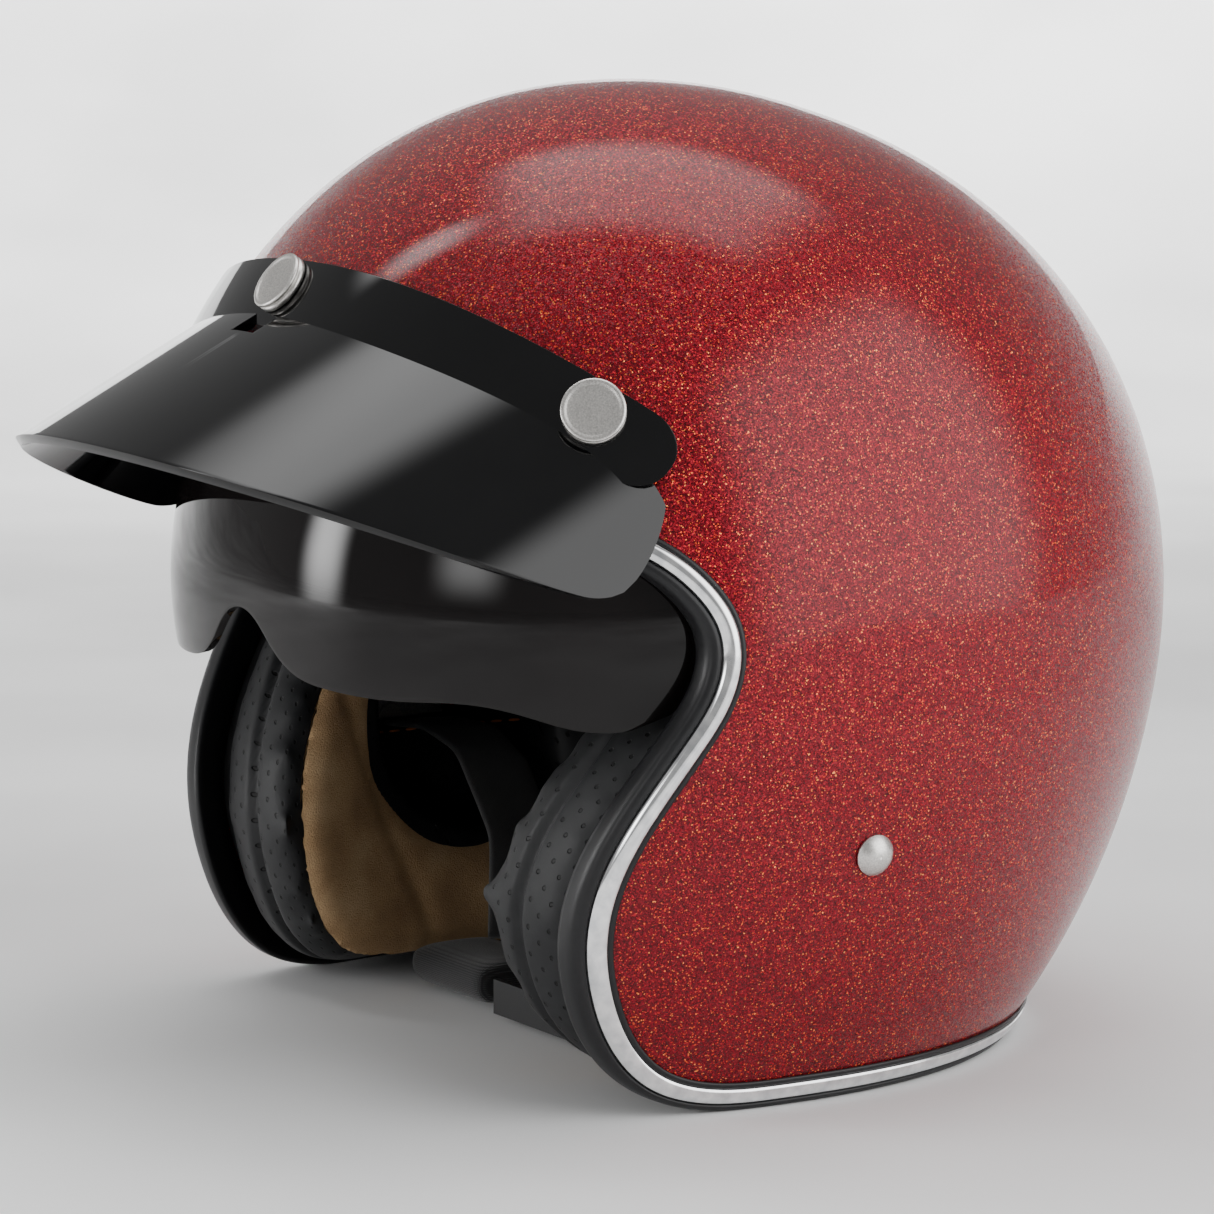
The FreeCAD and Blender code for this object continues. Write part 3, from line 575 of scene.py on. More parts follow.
PAINT = flake_paint()
GLOSS = gloss_black()
LENS = smoked()
LEATHER = leather()
PLUSH = plush()
CHROME = worn("chrome_bright", (0.86, 0.87, 0.89), 0.07, 1.0, 300, 0.03, 0.000004)
RUBBER = worn("rubber_black", (0.008, 0.008, 0.009), 0.4, 0.0, 700, 0.12, Specular_IOR_Level=0.35)
NICKEL = worn("nickel_satin", (0.66, 0.64, 0.61), 0.36, 1.0, 2500, 0.1, 0.000006)
STEEL = worn("steel_plated", (0.55, 0.55, 0.53), 0.3, 1.0, 1500, 0.12)
PLASTIC = worn("plastic_black", (0.018, 0.018, 0.019), 0.5, 0.0, 900, 0.1)
FOAM = worn("foam_black", (0.02, 0.02, 0.021), 0.75, 0.0, 350, 0.1, 0.0003)
MESH_CLOTH = weave("lining_mesh", (0.045, 0.045, 0.048), 420, 0.0003)
WEBBING = weave("webbing_twill", (0.026, 0.026, 0.028), 1.6, 0.0003, 0.7, "strip", True)
SLEEVE = weave("sleeve_cloth", (0.02, 0.02, 0.022), 600, 0.0002, 0.85)
THREAD = worn("thread_orange", (0.45, 0.13, 0.03), 0.6, 0.0, 4000, 0.1)
RED_PLASTIC = worn("plastic_red", (0.45, 0.02, 0.015), 0.3, 0.0, 900, 0.08)

NODE_FINISH = {
    "foam_liner": FOAM, "cheek_backing_": PLASTIC, "visor_washer_": PLASTIC, "visor_bracket_": PLASTIC,
    "visor_pivot_": STEEL, "snap_studs": STEEL, "strap_anchor_": STEEL, "strap_rivet_": NICKEL,
    "strap_washer_": NICKEL, "buckle_housing": PLASTIC, "ratchet_tongue": PLASTIC, "buckle_pin": STEEL,
    "buckle_spring": STEEL, "buckle_lever": RED_PLASTIC,
}
for name, node in NODES.items():
    for start, finish in NODE_FINISH.items():
        if name.startswith(start):
            node.data.materials.clear()
            node.data.materials.append(finish)

# ------------------------------------------------------------------ shell and its edge trim
SHELL_GAUGE, SHELL_PAST_EDGE = 3.5, 4.6
outer = dome_grid(0)
rows, columns = outer.shape[:2]
faces = grid_faces(rows, columns, True, False)
flat = outer.reshape(-1, 3)
past, _ = past_edge(flat[:, 1], flat[:, 2])
points = np.concatenate([flat, [[0, CROWN * LEAN_SIN, CROWN * LEAN_COS]]])
faces += [(r * columns, ((r + 1) % rows) * columns, len(flat)) for r in range(rows)]
points, faces = clipped(points, faces, SHELL_PAST_EDGE - np.append(past, -100))
shell = outward(made("shell_painted", points, faces, PAINT, replaces=("outer_shell",),
                     slot="metal_flake_shell"))
thickened(shell, SHELL_GAUGE)

edge_sweep("trim_gasket", [(-0.35, 0.1), (-0.3, -0.55), (0.1, -0.95), (0.9, -1.05), (1.25, -0.8), (1.3, 0.1)],
           RUBBER, slot="trim_rubber")
edge_sweep("trim_chrome", [(1.2, 0.1), (1.15, -0.9), (1.5, -1.5), (2.3, -1.82), (3.3, -1.9), (4.3, -1.75),
                           (5.0, -1.3), (5.25, -0.6), (5.3, 0.1)],
           CHROME, replaces=("edge_trim_chrome",), slot="bright_trim")
edge_sweep("trim_bead", [(5.3, 0.1), (5.3, -0.5), (5.55, -1.05), (6.1, -1.2), (6.65, -0.95), (6.95, -0.2),
                         (7.0, 1.2), (7.0, 3.4), (6.9, 4.6), (6.4, 5.3), (5.5, 5.55), (3.0, 5.4), (-2.2, 5.2),
                         (-2.9, 4.8), (-3.0, 3.7), (5.2, 3.65)],
           RUBBER, replaces=("edge_trim_rubber", "edge_trim_inner_lip"), slot="trim_rubber")

# ------------------------------------------------------------------ peak
SNAP_TARGETS = [(0, -102, 86), (94, -72, 61), (-94, -72, 61)]


def on_dome(target):
    """Nearest point of the outer surface to a target, and its outward direction."""
    target = np.array(target, float)
    place = np.unravel_index(((outer - target) ** 2).sum(-1).argmin(), outer.shape[:2])
    r, c = place
    along = outer[(r + 1) % rows, c] - outer[r - 1, c]
    down = outer[r, c + 1] - outer[r, c - 1]
    normal = np.cross(along, down)
    normal /= np.linalg.norm(normal)
    if normal @ target < 0:
        normal = -normal
    return target - normal * ((target - outer[r, c]) @ normal), normal


BAND_TOP, BAND_RUN, BAND_ACROSS = np.array([-96, 91.0]), np.array([0.768, -0.640]), np.array([-0.640, -0.768])
BAND_HEIGHT, BAND_ROUND, BAND_LENGTH = 18.5, 8.5, 56.0
BAND_OUTSIDE, BAND_INSIDE, BAND_START = -4.0, -1.0, -60


def band_row(across, inset, count=170):
    """Points of the band from the middle to its rounded end, at one height and depth."""
    corner = max(BAND_ROUND - min(across, BAND_HEIGHT - across), 0)
    end = BAND_LENGTH - BAND_ROUND + math.sqrt(BAND_ROUND ** 2 - corner ** 2)

    def side_view(u):
        run = BAND_START + (end - BAND_START) * u
        return tuple(BAND_TOP[k] + BAND_RUN[k] * run + BAND_ACROSS[k] * across for k in (0, 1))

    half = half_curve(side_view, inset, count, closes=False)
    return np.concatenate([half[::-1], half[1:] * np.array([-1, 1, 1])])


edge_steps = [0, 0.12, 0.45, 1.0, 2.0, 3.4, 5.2, 7.2]
heights = edge_steps + [BAND_HEIGHT / 2] + [BAND_HEIGHT - a for a in reversed(edge_steps)]
band_rows = [band_row(a, BAND_OUTSIDE) for a in heights]
band_rows += [band_row(a, BAND_INSIDE) for a in reversed(heights)]
count = len(band_rows[0])
half_rows = len(heights)
band_faces = grid_faces(len(band_rows), count, True, False)
for k in range(half_rows - 1):
    for c in (0, count - 1):
        band_faces.append((k * count + c, (k + 1) * count + c,
                           (2 * half_rows - 2 - k) * count + c, (2 * half_rows - 1 - k) * count + c))
band = outward(made("peak_band", np.concatenate(band_rows), band_faces, GLOSS, body=PEAK))
rounded(band, 0.7, 4)
applied(band)

BILL_HALF, BILL_ARCH, BILL_TILT = 110.0, 84.7, math.tan(math.radians(27))
BILL_BASE, BILL_BASE_Y = -6.5, -106
BILL_FRONT, BILL_REACH, BILL_FRONT_HALF = -69, 90, 109.5
BILL_BACK, BILL_PLAN_CORNER, BILL_STRAIGHT_HALF = -58, 9, 100.5
BILL_GAUGE, BILL_CLEARANCE, BILL_STEP, BILL_COLUMNS = 2.5, 2.2, 0.25, 56


def bill_height(turn, y):
    """Height of the bill's top along its arch."""
    return BILL_BASE + BILL_ARCH * np.cos(turn) + (y - BILL_BASE_Y) * BILL_TILT


def corner_share(lift, radius):
    """How far an elliptical corner has drawn in, 1 at the bill's lowest point and 0 above the radius."""
    return 1 - math.sqrt(1 - max(1 - lift / radius, 0) ** 2)


BILL_END = 12.9
bill_points = []
turns = np.radians(np.linspace(-82.5, 82.5, 321))
for turn in turns:
    x = BILL_HALF * math.sin(turn)
    front = BILL_FRONT - BILL_REACH * math.sqrt(max(1 - (x / BILL_FRONT_HALF) ** 2, 0))
    corner = max(abs(x) - BILL_STRAIGHT_HALF, 0)
    back = BILL_BACK - BILL_PLAN_CORNER + math.sqrt(max(BILL_PLAN_CORNER ** 2 - corner ** 2, 0))
    lift = bill_height(turn, BILL_BACK) - bill_height(turns[0], BILL_BACK)
    back -= 0.7 * BILL_END * corner_share(lift, 15)
    front += 0.27 * BILL_END * corner_share(lift, 5)
    line = np.arange(front, back, BILL_STEP)
    half = dome_x(line, bill_height(turn, line), -BILL_CLEARANCE)
    inside = np.nonzero(np.nan_to_num(half) >= abs(x))[0]
    if len(inside) and inside[0] > 0:
        k = inside[0]
        gap_before = np.nan_to_num(half[k - 1]) - abs(x)
        gap_after = half[k] - abs(x)
        share = gap_before / (gap_before - gap_after) if np.isfinite(half[k - 1]) else 0.5
        back = min(back, line[k - 1] + BILL_STEP * share)
    share = np.linspace(0, 1, BILL_COLUMNS)
    y = front + (back - front) * share
    bill_points.append(np.stack([np.full_like(y, x), y, bill_height(turn, y)], 1))
bill = made("peak_bill", np.concatenate(bill_points), grid_faces(len(turns), BILL_COLUMNS), GLOSS,
            body=PEAK, replaces=("peak",), slot="gloss_peak")
outward(bill)
if sum(p.normal.z for p in bill.data.polygons) < 0:
    bill.data.flip_normals()
thickened(bill, BILL_GAUGE, 0.8, 3)

slot_points = [(x, y, z) for x in (-5.5, 5.5) for y in (-112.5, -103.0) for z in (50, 90)]
slot_faces = [(0, 1, 3, 2), (4, 6, 7, 5), (0, 4, 5, 1), (2, 3, 7, 6), (0, 2, 6, 4), (1, 5, 7, 3)]
slot_cutter = outward(made("slot_cutter", slot_points, slot_faces, GLOSS, body=PEAK, smooth=False))
cut = bill.modifiers.new("slot", "BOOLEAN")
cut.operation = "DIFFERENCE"
cut.object = slot_cutter
cut.solver = "EXACT"
applied(bill)
bpy.data.objects.remove(slot_cutter)

snaps = [on_dome(t) for t in SNAP_TARGETS]
SNAP_PROFILE = [(6.6, 4.0), (7.4, 4.05), (7.6, 4.3), (7.6, 5.2), (7.45, 5.4), (6.95, 5.5), (6.95, 5.95),
                (7.5, 6.05), (7.65, 6.3), (7.62, 6.65), (7.4, 6.9), (7.0, 7.0), (6.6, 6.95), (6.25, 6.8),
                (5.9, 6.72), (3.0, 6.8), (0.4, 6.85)]
turned("snap_caps_pressed", SNAP_PROFILE, snaps, NICKEL, steps=72, body=PEAK, replaces=("snap_caps",),
       slot="satin_nickel")

# ------------------------------------------------------------------ sun visor lens
HINGE_Y, HINGE_Z = -15, 8
LENS_HALF, LENS_RADIUS, LENS_WIDE, LENS_POWER = 105.2, 99.0, 108.2, 2.3
LENS_GAUGE, LENS_ROWS, ARM_STEPS = 2.2, 70, 18
LENS_LOWEST, LENS_TOP = math.radians(-24), math.radians(38)
# lower edge by distance from the middle, with the finger tab on the left
LENS_LEFT = [(0, 8), (7, 6), (14, 0), (22, -5.5), (34, -8), (60, -8.5), (76, -8.5), (84, -11), (92, -14),
             (99, -12), (103, -6), (112, -3)]
LENS_RIGHT = [(0, 8), (7, 6), (14, 0), (22, -5.5), (34, -8), (60, -8.5), (84, -8.5), (98, -7), (112, -3)]
lens_line = spline([(-x, z) for x, z in reversed(LENS_RIGHT[1:])] + LENS_LEFT, 900)
section = []
for x in LENS_HALF * np.sin(np.linspace(-math.pi / 2, math.pi / 2, 261)):
    section.append((x, LENS_RADIUS * (1 - (abs(x) / LENS_WIDE) ** LENS_POWER) ** (1 / LENS_POWER)))
arm = section[-1][1]
right_arm = [(-LENS_HALF, r) for r in np.linspace(8, arm - 0.5, ARM_STEPS)]
left_arm = [(LENS_HALF, r) for r in np.linspace(arm - 0.5, 8, ARM_STEPS)]
section = right_arm + section + left_arm
lens_points = []
for x, radius in section:
    edge_z = np.interp(x, lens_line[:, 0], lens_line[:, 1])
    low = math.asin(max(min((edge_z - HINGE_Z) / radius, 1), -1))
    low = max(low, LENS_LOWEST)
    for angle in np.linspace(low, LENS_TOP, LENS_ROWS):
        lens_points.append((x, HINGE_Y - radius * math.cos(angle), HINGE_Z + radius * math.sin(angle)))
lens = made("lens_moulded", lens_points, grid_faces(len(section), LENS_ROWS), LENS, body=VISOR,
            replaces=("sun_visor_lens",), slot="smoked_lens")
outward(lens)
centre = lens.data.polygons[len(lens.data.polygons) // 2]
if centre.normal.y > 0:
    lens.data.flip_normals()
thickened(lens, LENS_GAUGE, 0.5, 3)
for side, name in ((1, "left"), (-1, "right")):
    start = side * 103.0
    ring = [(3.1, 0), (10, 0), (10, LENS_GAUGE), (3.1, LENS_GAUGE)]
    turned("lens_boss_" + name, ring, [((start, HINGE_Y, HINGE_Z), (side, 0, 0))], LENS, body=VISOR,
           slot="smoked_lens")


# ------------------------------------------------------------------ padded pieces
def depth_of(points):
    """Depth of points below the outer surface."""
    low = np.zeros(len(points))
    high = np.full(len(points), 80.0)
    for _ in range(22):
        middle = (low + high) / 2
        half = np.nan_to_num(dome_x(points[:, 1], points[:, 2], middle))
        outside = half > np.abs(points[:, 0])
        low = np.where(outside, middle, low)
        high = np.where(outside, high, middle)
    return low


def remeshed(name, node, voxel):
    """Even mesh of a CAD node's outside."""
    obj = bpy.data.objects.new(name, NODES[node].data.copy())
    bpy.context.scene.collection.objects.link(obj)
    obj.data.materials.clear()
    remesh = obj.modifiers.new("even", "REMESH")
    remesh.mode = "VOXEL"
    remesh.voxel_size = voxel / 1000
    return applied(obj)


# each filled piece: name, node, voxel, material, slot, most movement, fill, pressure
PADS = [
    ("pad_cheek_left", "cheek_pad_left", 4.2, LEATHER, "perforated_leather", 3.2, 0.7, 4.0),
    ("pad_cheek_right", "cheek_pad_right", 4.2, LEATHER, "perforated_leather", 3.2, 0.7, 4.0),
    ("pad_neck_roll", "neck_roll", 4.6, LEATHER, "perforated_leather", 3.0, 0.7, 4.0),
    ("sleeve_left", "strap_sleeve_left", 2.6, SLEEVE, "sleeve_cloth", 1.2, 0.5, 2.0),
    ("sleeve_right", "strap_sleeve_right", 2.6, SLEEVE, "sleeve_cloth", 1.2, 0.5, 2.0),
]
pads = {name: remeshed(name, node, voxel) for name, node, voxel, *_ in PADS}
rest = {name: np.array([v.co for v in obj.data.vertices]) for name, obj in pads.items()}
for name, *_, pressure in PADS:
    cloth = pads[name].modifiers.new("fill", "CLOTH")
    cloth.settings.mass = 0.3
    cloth.settings.quality = 5
    cloth.settings.tension_stiffness = 12
    cloth.settings.compression_stiffness = 8
    cloth.settings.bending_stiffness = 0.4
    cloth.settings.use_pressure = True
    cloth.settings.uniform_pressure_force = pressure
    cloth.settings.shrink_min = -0.03
    cloth.settings.effector_weights.gravity = 0
    cloth.point_cache.frame_start, cloth.point_cache.frame_end = 1, 20
for moment in range(1, 21):
    bpy.context.scene.frame_set(moment)
for obj in pads.values():
    applied(obj)
bpy.context.scene.frame_set(1)


def smoothed(obj, factor, times):
    """Evens out a mesh."""
    relax = obj.modifiers.new("relax", "SMOOTH")
    relax.factor = factor
    relax.iterations = times
    return applied(obj)


for name, node, _, material, slot, cap, fill, _ in PADS:
    obj = pads[name]
    now = np.array([v.co for v in obj.data.vertices])
    move = now - rest[name]
    far = np.linalg.norm(move, axis=1, keepdims=True)
    now = rest[name] + move * np.minimum(1, cap / 1000 / np.maximum(far, 1e-9))
    obj.data.vertices.foreach_set("co", now.ravel())
    obj.data.update()
    smoothed(obj, 0.5, 14 if "cheek" in name else 6)
    subdivide = obj.modifiers.new("finer", "SUBSURF")
    subdivide.levels = subdivide.render_levels = 2 if "cheek" in name else 1
    applied(obj)
    places = level([v.co for v in obj.data.vertices])
    if "sleeve" not in name:
        depth = depth_of(places)
        past, along = past_edge(places[:, 1], places[:, 2])
        if "cheek" in name:
            roll = depth - np.maximum(past - 4, -60) * np.tanh((depth - 28) / 6)
            ridge = 2.2 * np.exp(-((depth - 27.0) / 1.5) ** 2) * np.clip((past + 14) / 8, 0, 1)
        else:
            roll = depth + places[:, 2]
            ridge = 1.6 * np.exp(-((places[:, 2] + 72) / 2.0) ** 2)
            along = np.degrees(np.arctan2(places[:, 0], places[:, 1])) * 1.7
        normals = np.array([v.normal for v in obj.data.vertices])
        places -= normals * ridge[:, None]
        obj.data.vertices.foreach_set("co", placed(places).ravel())
        layer = obj.data.uv_layers.new(name="section")
        corners = np.empty(len(obj.data.loops), np.int32)
        obj.data.loops.foreach_get("vertex_index", corners)
        layer.data.foreach_set("uv", np.stack([along[corners], roll[corners]], 1).astype(np.float32).ravel())
    obj.data.materials.clear()
    obj.data.materials.append(material)
    obj.data.polygons.foreach_set("use_smooth", [True] * len(obj.data.polygons))
    obj.data.update()
    dressed(obj, HELMET, (node,))


def side_grid(low, high, step):
    """Side-view grid of places."""
    y = np.arange(low[0], high[0] + step, step)
    z = np.arange(low[1], high[1] + step, step)
    yy, zz = np.meshgrid(y, z, indexing="ij")
    return yy, zz


def puffed(name, yy, zz, border, base, puff, side, material, node, slot):
    """Soft layer over a side-view region: flat underneath, and rounded off towards its border."""
    rows, columns = yy.shape
    lift = puff * (1 - np.exp(-np.maximum(border, 0) / 4.5))
    under = dome_x(yy, zz, base)
    over = dome_x(yy, zz, base + lift)
    keep = np.where(np.isfinite(under) & np.isfinite(over), border, -1.0).ravel()
    faces = grid_faces(rows, columns)
    points = []
    shapes = []
    for x in (over, under):
        flat = np.stack([side * np.nan_to_num(x).ravel(), yy.ravel(), zz.ravel()], 1)
        part, kept = clipped(flat, faces, keep)
        shapes += [tuple(i + len(points) for i in f) for f in kept]
        points += part.tolist()
    obj = made(name, points, shapes, material, replaces=(node,), slot=slot)
    bm = bmesh.new()
    bm.from_mesh(obj.data)
    bmesh.ops.remove_doubles(bm, verts=bm.verts, dist=2e-4)
    bmesh.ops.recalc_face_normals(bm, faces=bm.faces)
    bm.to_mesh(obj.data)
    bm.free()
    smoothed(obj, 0.5, 8)
    return obj


PLUSH_BASE, PLUSH_PUFF = 43.0, 7.5
yy, zz = side_grid((-70, -101), (24, 0), 1.2)
past, _ = past_edge(yy, zz)
EAR_Y, EAR_Z, EAR_RADIUS = -2, -36, 35.5
ear = np.hypot(yy - EAR_Y, zz - EAR_Z) - EAR_RADIUS
# the ear opening is round in front and runs straight back behind the ear
ear = np.where((yy > EAR_Y) & (zz > EAR_Z), -1.0, ear)
ear = np.where((yy > EAR_Y) & (zz <= EAR_Z), np.minimum(ear, EAR_Z - EAR_RADIUS - zz), ear)
border = np.minimum.reduce([-1.0 - past, 21 - yy, -2 - zz, zz + 99, ear])
crease = 1.6 * np.exp(-((yy + 0.4 * zz + 62) / 2.2) ** 2) + 1.1 * np.exp(-((yy - 0.5 * zz - 52) / 2.0) ** 2)
for side, name in ((1, "left"), (-1, "right")):
    puffed("plush_cheek_" + name, yy, zz, border, PLUSH_BASE, PLUSH_PUFF - crease, side, PLUSH,
           "cheek_plush_" + name, "tan_plush")


LINING_DEPTH, LINING_GAUGE = 34.5, 4.2


def lining(name, region, node, quilt):
    """Quilted lining layer inside the foam, cut to a region."""
    grid = dome_grid(LINING_DEPTH, 260, 90, 80)
    rows, columns = grid.shape[:2]
    flat = grid.reshape(-1, 3)
    past, _ = past_edge(flat[:, 1], flat[:, 2])
    keep = np.minimum(region(flat), -4.6 - past)
    top = CROWN - LINING_DEPTH
    flat = np.concatenate([flat, [[0, top * LEAN_SIN, top * LEAN_COS]]])
    keep = np.append(keep, 50 if "crown" in name else -50)
    seams = quilt(flat)
    flat = flat * (1 + 0.012 * seams)[:, None]
    faces = grid_faces(rows, columns, True, False)
    faces += [(r * columns, ((r + 1) % rows) * columns, len(flat) - 1) for r in range(rows)]
    points, faces = clipped(flat, faces, keep)
    obj = outward(made(name, points, faces, MESH_CLOTH, replaces=(node,), slot="lining_mesh"))
    inward = sum(Vector(p.normal).dot(p.center - Vector(placed([0, 0, 40]))) for p in obj.data.polygons) > 0
    if inward:
        obj.data.flip_normals()
    solid = obj.modifiers.new("gauge", "SOLIDIFY")
    solid.thickness = LINING_GAUGE / 1000
    solid.offset = -1
    rounded(obj, 1.4, 4)
    applied(obj)
    return obj


def crown_quilt(p):
    """Seams of the crown lining: a cross and a ring."""
    across = np.exp(-(p[:, 0] / 3.0) ** 2) + np.exp(-((p[:, 1] - 20) / 3.0) ** 2)
    ring = np.exp(-((np.hypot(p[:, 0], p[:, 1] - 20) - 45) / 3.0) ** 2)
    return np.minimum(across + ring, 1)


def band_quilt(p):
    """Upright seams of the headband."""
    angle = np.degrees(np.arctan2(p[:, 0], p[:, 1] - 10))
    return np.exp(-(((angle + 180) % 24 - 12) / 1.4) ** 2)


def headband_region(p):
    """Side-view region of the headband: deeper behind the ear."""
    floor = np.where(p[:, 1] > 25, -39.0, 3.0)
    return np.minimum(51.5 - p[:, 2], p[:, 2] - floor)


lining("lining_crown", lambda p: p[:, 2] - 52.5, "crown_lining", crown_quilt)
lining("lining_headband", headband_region, "headband_lining", band_quilt)

# ------------------------------------------------------------------ straps
ROUTE = [(107, -6, -44), (92, 2, -45), (76, 3, -51), (52, -1, -72), (34, -12, -92)]
WIDE = [(0, 1, 0), (0, 1, -0.1), (0, 1, -0.25), (0, 1, -0.4), (0, 1, -0.15)]
STRAP_TOP = [(-12, 0), (-11.7, 0.6), (-10.8, 0.85), (-6, 0.8), (0, 0.9), (6, 0.8), (10.8, 0.85), (11.7, 0.6)]
STRAP_SECTION = STRAP_TOP + [(-a, -b) for a, b in STRAP_TOP]
for side, name in ((1, "left"), (-1, "right")):
    path = np.array(ROUTE, float) * np.array([side, 1, 1])
    wide = np.array(WIDE, float)
    steps = np.linspace(0, len(ROUTE) - 1, 81)
    index = np.arange(len(ROUTE))
    line = np.stack([np.interp(steps, index, path[:, k]) for k in range(3)], 1)
    across = np.stack([np.interp(steps, index, wide[:, k]) for k in range(3)], 1)
    for _ in range(12):
        line[1:-1] = (line[:-2] + 2 * line[1:-1] + line[2:]) / 4
    across /= np.linalg.norm(across, axis=1)[:, None]
    tangent = np.gradient(line, axis=0)
    tangent /= np.linalg.norm(tangent, axis=1)[:, None]
    up = np.cross(tangent, across)
    points = np.concatenate([line + across * a + up * b for a, b in STRAP_SECTION])
    corners = len(STRAP_SECTION)
    faces = grid_faces(corners, len(line), True, False)
    faces.append(tuple(k * len(line) for k in range(corners)))
    faces.append(tuple(k * len(line) + len(line) - 1 for k in reversed(range(corners))))
    strap = made("webbing_" + name, points, faces, WEBBING, replaces=("chin_strap_" + name,),
                 slot="strap_webbing")
    layer = strap.data.uv_layers.new(name="strip")
    reach = np.concatenate([[0], np.cumsum(np.linalg.norm(np.diff(line, axis=0), axis=1))])
    for loop in strap.data.loops:
        k, c = divmod(loop.vertex_index, len(line))
        layer.data[loop.index].uv = (STRAP_SECTION[k][0], reach[c])
    outward(strap)

# ------------------------------------------------------------------ stitching
def stitches(name, curve, length, gap, radius, material, slot):
    """Dashed thread along a curve: short rounded bars."""
    reach = np.concatenate([[0], np.cumsum(np.linalg.norm(np.diff(curve, axis=0), axis=1))])
    points, faces = [], []
    place = gap
    while place + length < reach[-1]:
        a = np.array([np.interp(place, reach, curve[:, k]) for k in range(3)])
        b = np.array([np.interp(place + length, reach, curve[:, k]) for k in range(3)])
        run = (b - a) / np.linalg.norm(b - a)
        side = np.cross(run, [0.1, 0.2, 1.0])
        side /= np.linalg.norm(side)
        other = np.cross(run, side)
        base = len(points)
        for share, size in ((0, 0.35), (0.12, 0.85), (0.5, 1), (0.88, 0.85), (1, 0.35)):
            for k in range(8):
                angle = math.pi * k / 4
                spoke = side * math.cos(angle) + other * math.sin(angle)
                points.append(a + (b - a) * share + spoke * radius * size)
        faces += [tuple(base + i for i in f) for f in grid_faces(5, 8, False, True)]
        faces += [tuple(base + k for k in range(8)), tuple(base + 32 + k for k in reversed(range(8)))]
        place += length + gap
    return outward(made(name, points, faces, material, slot=slot))


def seam(height, depth, near, far):
    """Level line on the dome's inside, from one side round to the other or along one side."""
    y = np.linspace(near, far, 500)
    x = dome_x(y, np.full_like(y, height), depth)
    ok = np.isfinite(x)
    return np.stack([x[ok], y[ok], np.full(ok.sum(), height)], 1)


STITCH = (3.4, 1.9, 0.42)  # stitch length, gap and thread radius
half = seam(-38.2, 34.4, 27, 115)
stitches("stitch_neck_roll", np.concatenate([half, half[::-1] * np.array([-1, 1, 1])]), *STITCH, THREAD,
         "perforated_leather")

# leather skirt between the cheek pads and the neck roll, with its stitched upper seam
yy, zz = side_grid((-36, -71), (26, -43), 1.4)
border = np.minimum.reduce([26 - yy, yy + 36, zz + 71, -43 - zz])
for side, name in ((1, "left"), (-1, "right")):
    lift = 5.5 * (1 - np.exp(-np.maximum(border, 0) / 5.0))
    points, shapes = [], []
    for x in (dome_x(yy, zz, 14.5 + lift), dome_x(yy, zz, 13.6)):
        flat = np.stack([side * x.ravel(), yy.ravel(), zz.ravel()], 1)
        shapes += [tuple(i + len(points) for i in f) for f in grid_faces(*yy.shape)]
        points += flat.tolist()
    skirt = made("ear_skirt_" + name, points, shapes, LEATHER, slot="perforated_leather")
    layer = skirt.data.uv_layers.new(name="section")
    for loop in skirt.data.loops:
        place = points[loop.vertex_index]
        layer.data[loop.index].uv = (place[1], place[2])
    outward(skirt)
    curve = seam(-45.5, 19.3, -34, 25) * np.array([side, 1, 1])
    stitches("stitch_skirt_" + name, curve, *STITCH, THREAD, "perforated_leather")

# ------------------------------------------------------------------ studio
CENTRE = (0, 0.0109, 0.107)
AWAY = Vector((-0.8400, 0.5426, 0))
SIDE = Vector((0.5426, 0.8400, 0))
sweep = [(-5.0, 0.0), (1.2, 0.0)]
sweep += [(1.2 + 1.2 * math.sin(a), 1.2 - 1.2 * math.cos(a)) for a in np.linspace(0.05, math.pi / 3, 24)]
points = [AWAY * run + SIDE * wide + Vector((0, 0, rise)) for run, rise in sweep for wide in (-5, 5)]
floor = made("studio_sweep", level(points), grid_faces(len(sweep), 2),
             worn("studio_white", (0.9, 0.9, 0.9), 0.75, 0.0, 3, 0.05, 0.00001))
floor.parent = None
del floor["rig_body"]

world = bpy.data.worlds.new("studio")
bpy.context.scene.world = world
world.use_nodes = True
world.node_tree.nodes["Background"].inputs["Color"].default_value = (1, 1, 1, 1)
world.node_tree.nodes["Background"].inputs["Strength"].default_value = 0.38


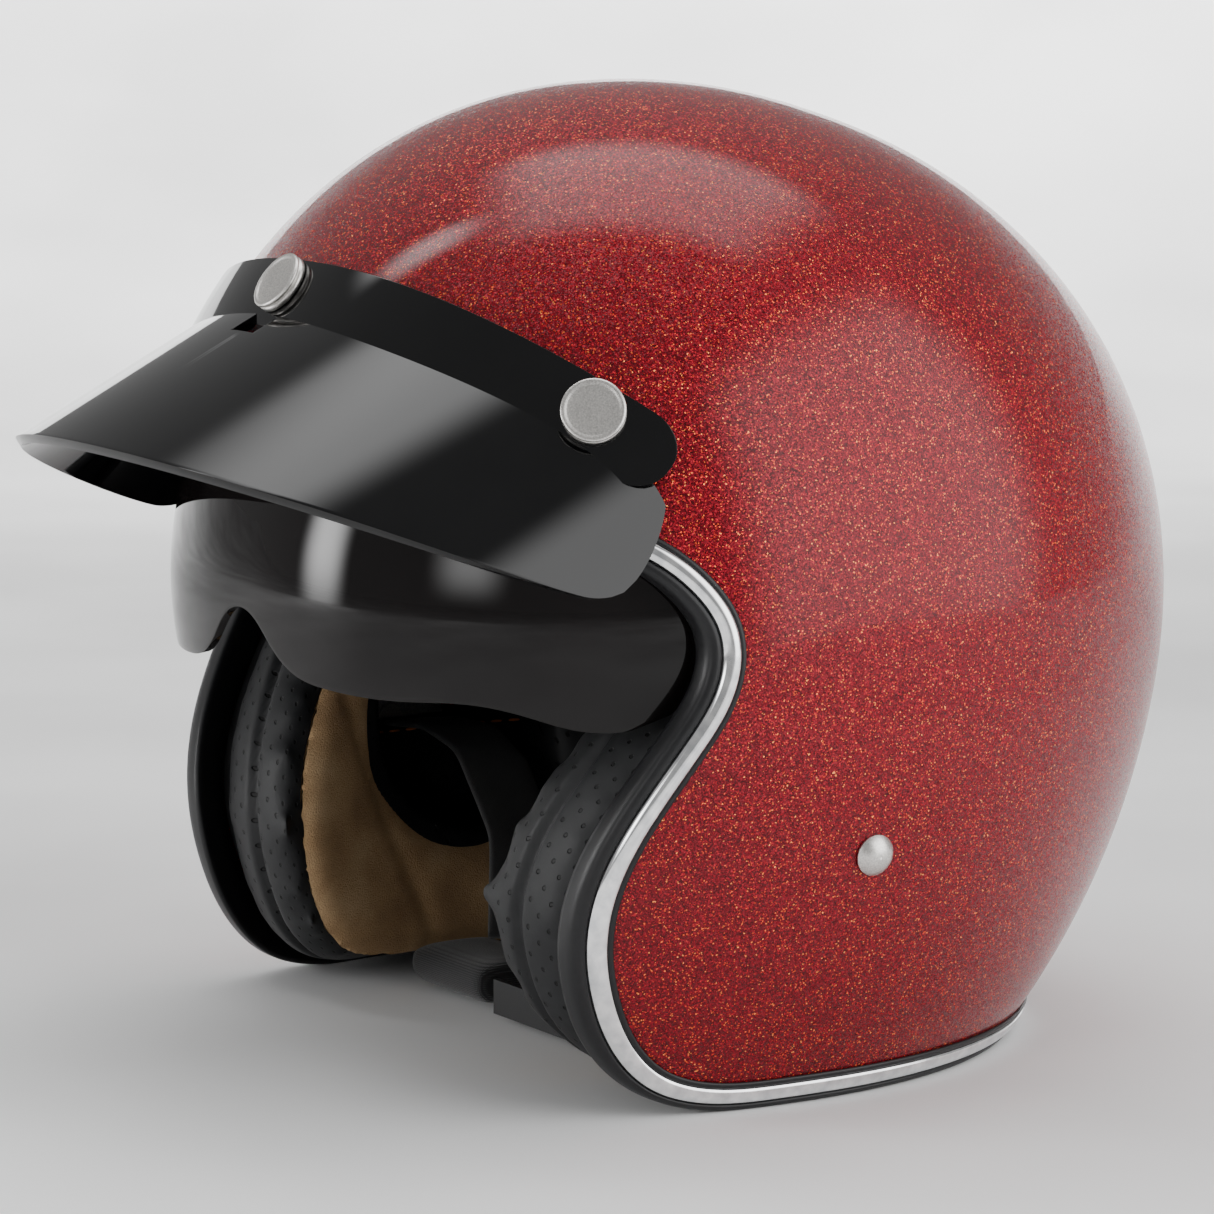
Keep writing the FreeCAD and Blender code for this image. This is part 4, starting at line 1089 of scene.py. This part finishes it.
def softbox(name, place, target, width, height, power, edge=0.3):
    """Rectangular area light aimed at a point, with soft edges like a diffuser's."""
    data = bpy.data.lights.new(name, "AREA")
    data.shape = "RECTANGLE"
    data.size, data.size_y = width, height
    data.energy = power
    data.use_nodes = True
    tree = data.node_tree
    across = tree.nodes.new("ShaderNodeSeparateXYZ")
    tree.links.new(tree.nodes.new("ShaderNodeNewGeometry").outputs["Parametric"], across.inputs[0])
    fades = []
    for axis in ("X", "Y"):
        middle = tree.nodes.new("ShaderNodeMath")
        middle.operation = "PINGPONG"
        tree.links.new(across.outputs[axis], middle.inputs[0])
        middle.inputs[1].default_value = 0.5
        fade = tree.nodes.new("ShaderNodeMapRange")
        fade.interpolation_type = "SMOOTHERSTEP"
        tree.links.new(middle.outputs[0], fade.inputs["Value"])
        fade.inputs["From Min"].default_value = 0.0
        fade.inputs["From Max"].default_value = edge
        fades.append(fade.outputs[0])
    both = tree.nodes.new("ShaderNodeMath")
    both.operation = "MULTIPLY"
    for slot, source in zip(both.inputs, fades):
        tree.links.new(source, slot)
    tree.links.new(both.outputs[0], tree.nodes["Emission"].inputs["Strength"])
    obj = bpy.data.objects.new(name, data)
    bpy.context.scene.collection.objects.link(obj)
    obj.location = place
    obj.rotation_euler = (Vector(target) - Vector(place)).to_track_quat("-Z", "Y").to_euler()
    return obj


softbox("side_box", (1.45, 0.85, 0.75), CENTRE, 2.8, 2.6, 80)
softbox("front_box", (-0.95, -1.45, 0.4), (0, 0.0109, 0.4), 0.6, 1.3, 42, 0.5)
softbox("fill_box", (0.45, -1.6, 0.45), CENTRE, 1.0, 0.8, 16, 0.5)
softbox("top_box", (-0.3, 0.3, 2.1), CENTRE, 2.6, 1.6, 55)
softbox("peak_box", (-0.85, -0.62, 1.45), CENTRE, 0.35, 0.9, 9, 0.5)
wash_from = Vector(CENTRE) + AWAY * 1.5 + Vector((0, 0, 1.3))
wash_to = Vector(CENTRE) + AWAY * 2.3 + Vector((0, 0, 0.8))
softbox("wall_wash", wash_from, wash_to, 3.2, 0.5, 110, 0.1)

camera_data = bpy.data.cameras.new("camera")
camera = bpy.data.objects.new("camera", camera_data)
bpy.context.scene.collection.objects.link(camera)
bpy.context.scene.camera = camera
AZIMUTH, ELEVATION, DISTANCE = math.radians(57.14), math.radians(8.02), 1.18486
back = Vector((math.sin(AZIMUTH) * math.cos(ELEVATION), -math.cos(AZIMUTH) * math.cos(ELEVATION),
               math.sin(ELEVATION)))
camera.location = Vector(CENTRE) + back * DISTANCE
camera.rotation_euler = back.to_track_quat("Z", "Y").to_euler()
camera_data.sensor_width = 36
camera_data.lens = 137.4
camera_data.shift_x = -0.0231
camera_data.shift_y = -0.0028
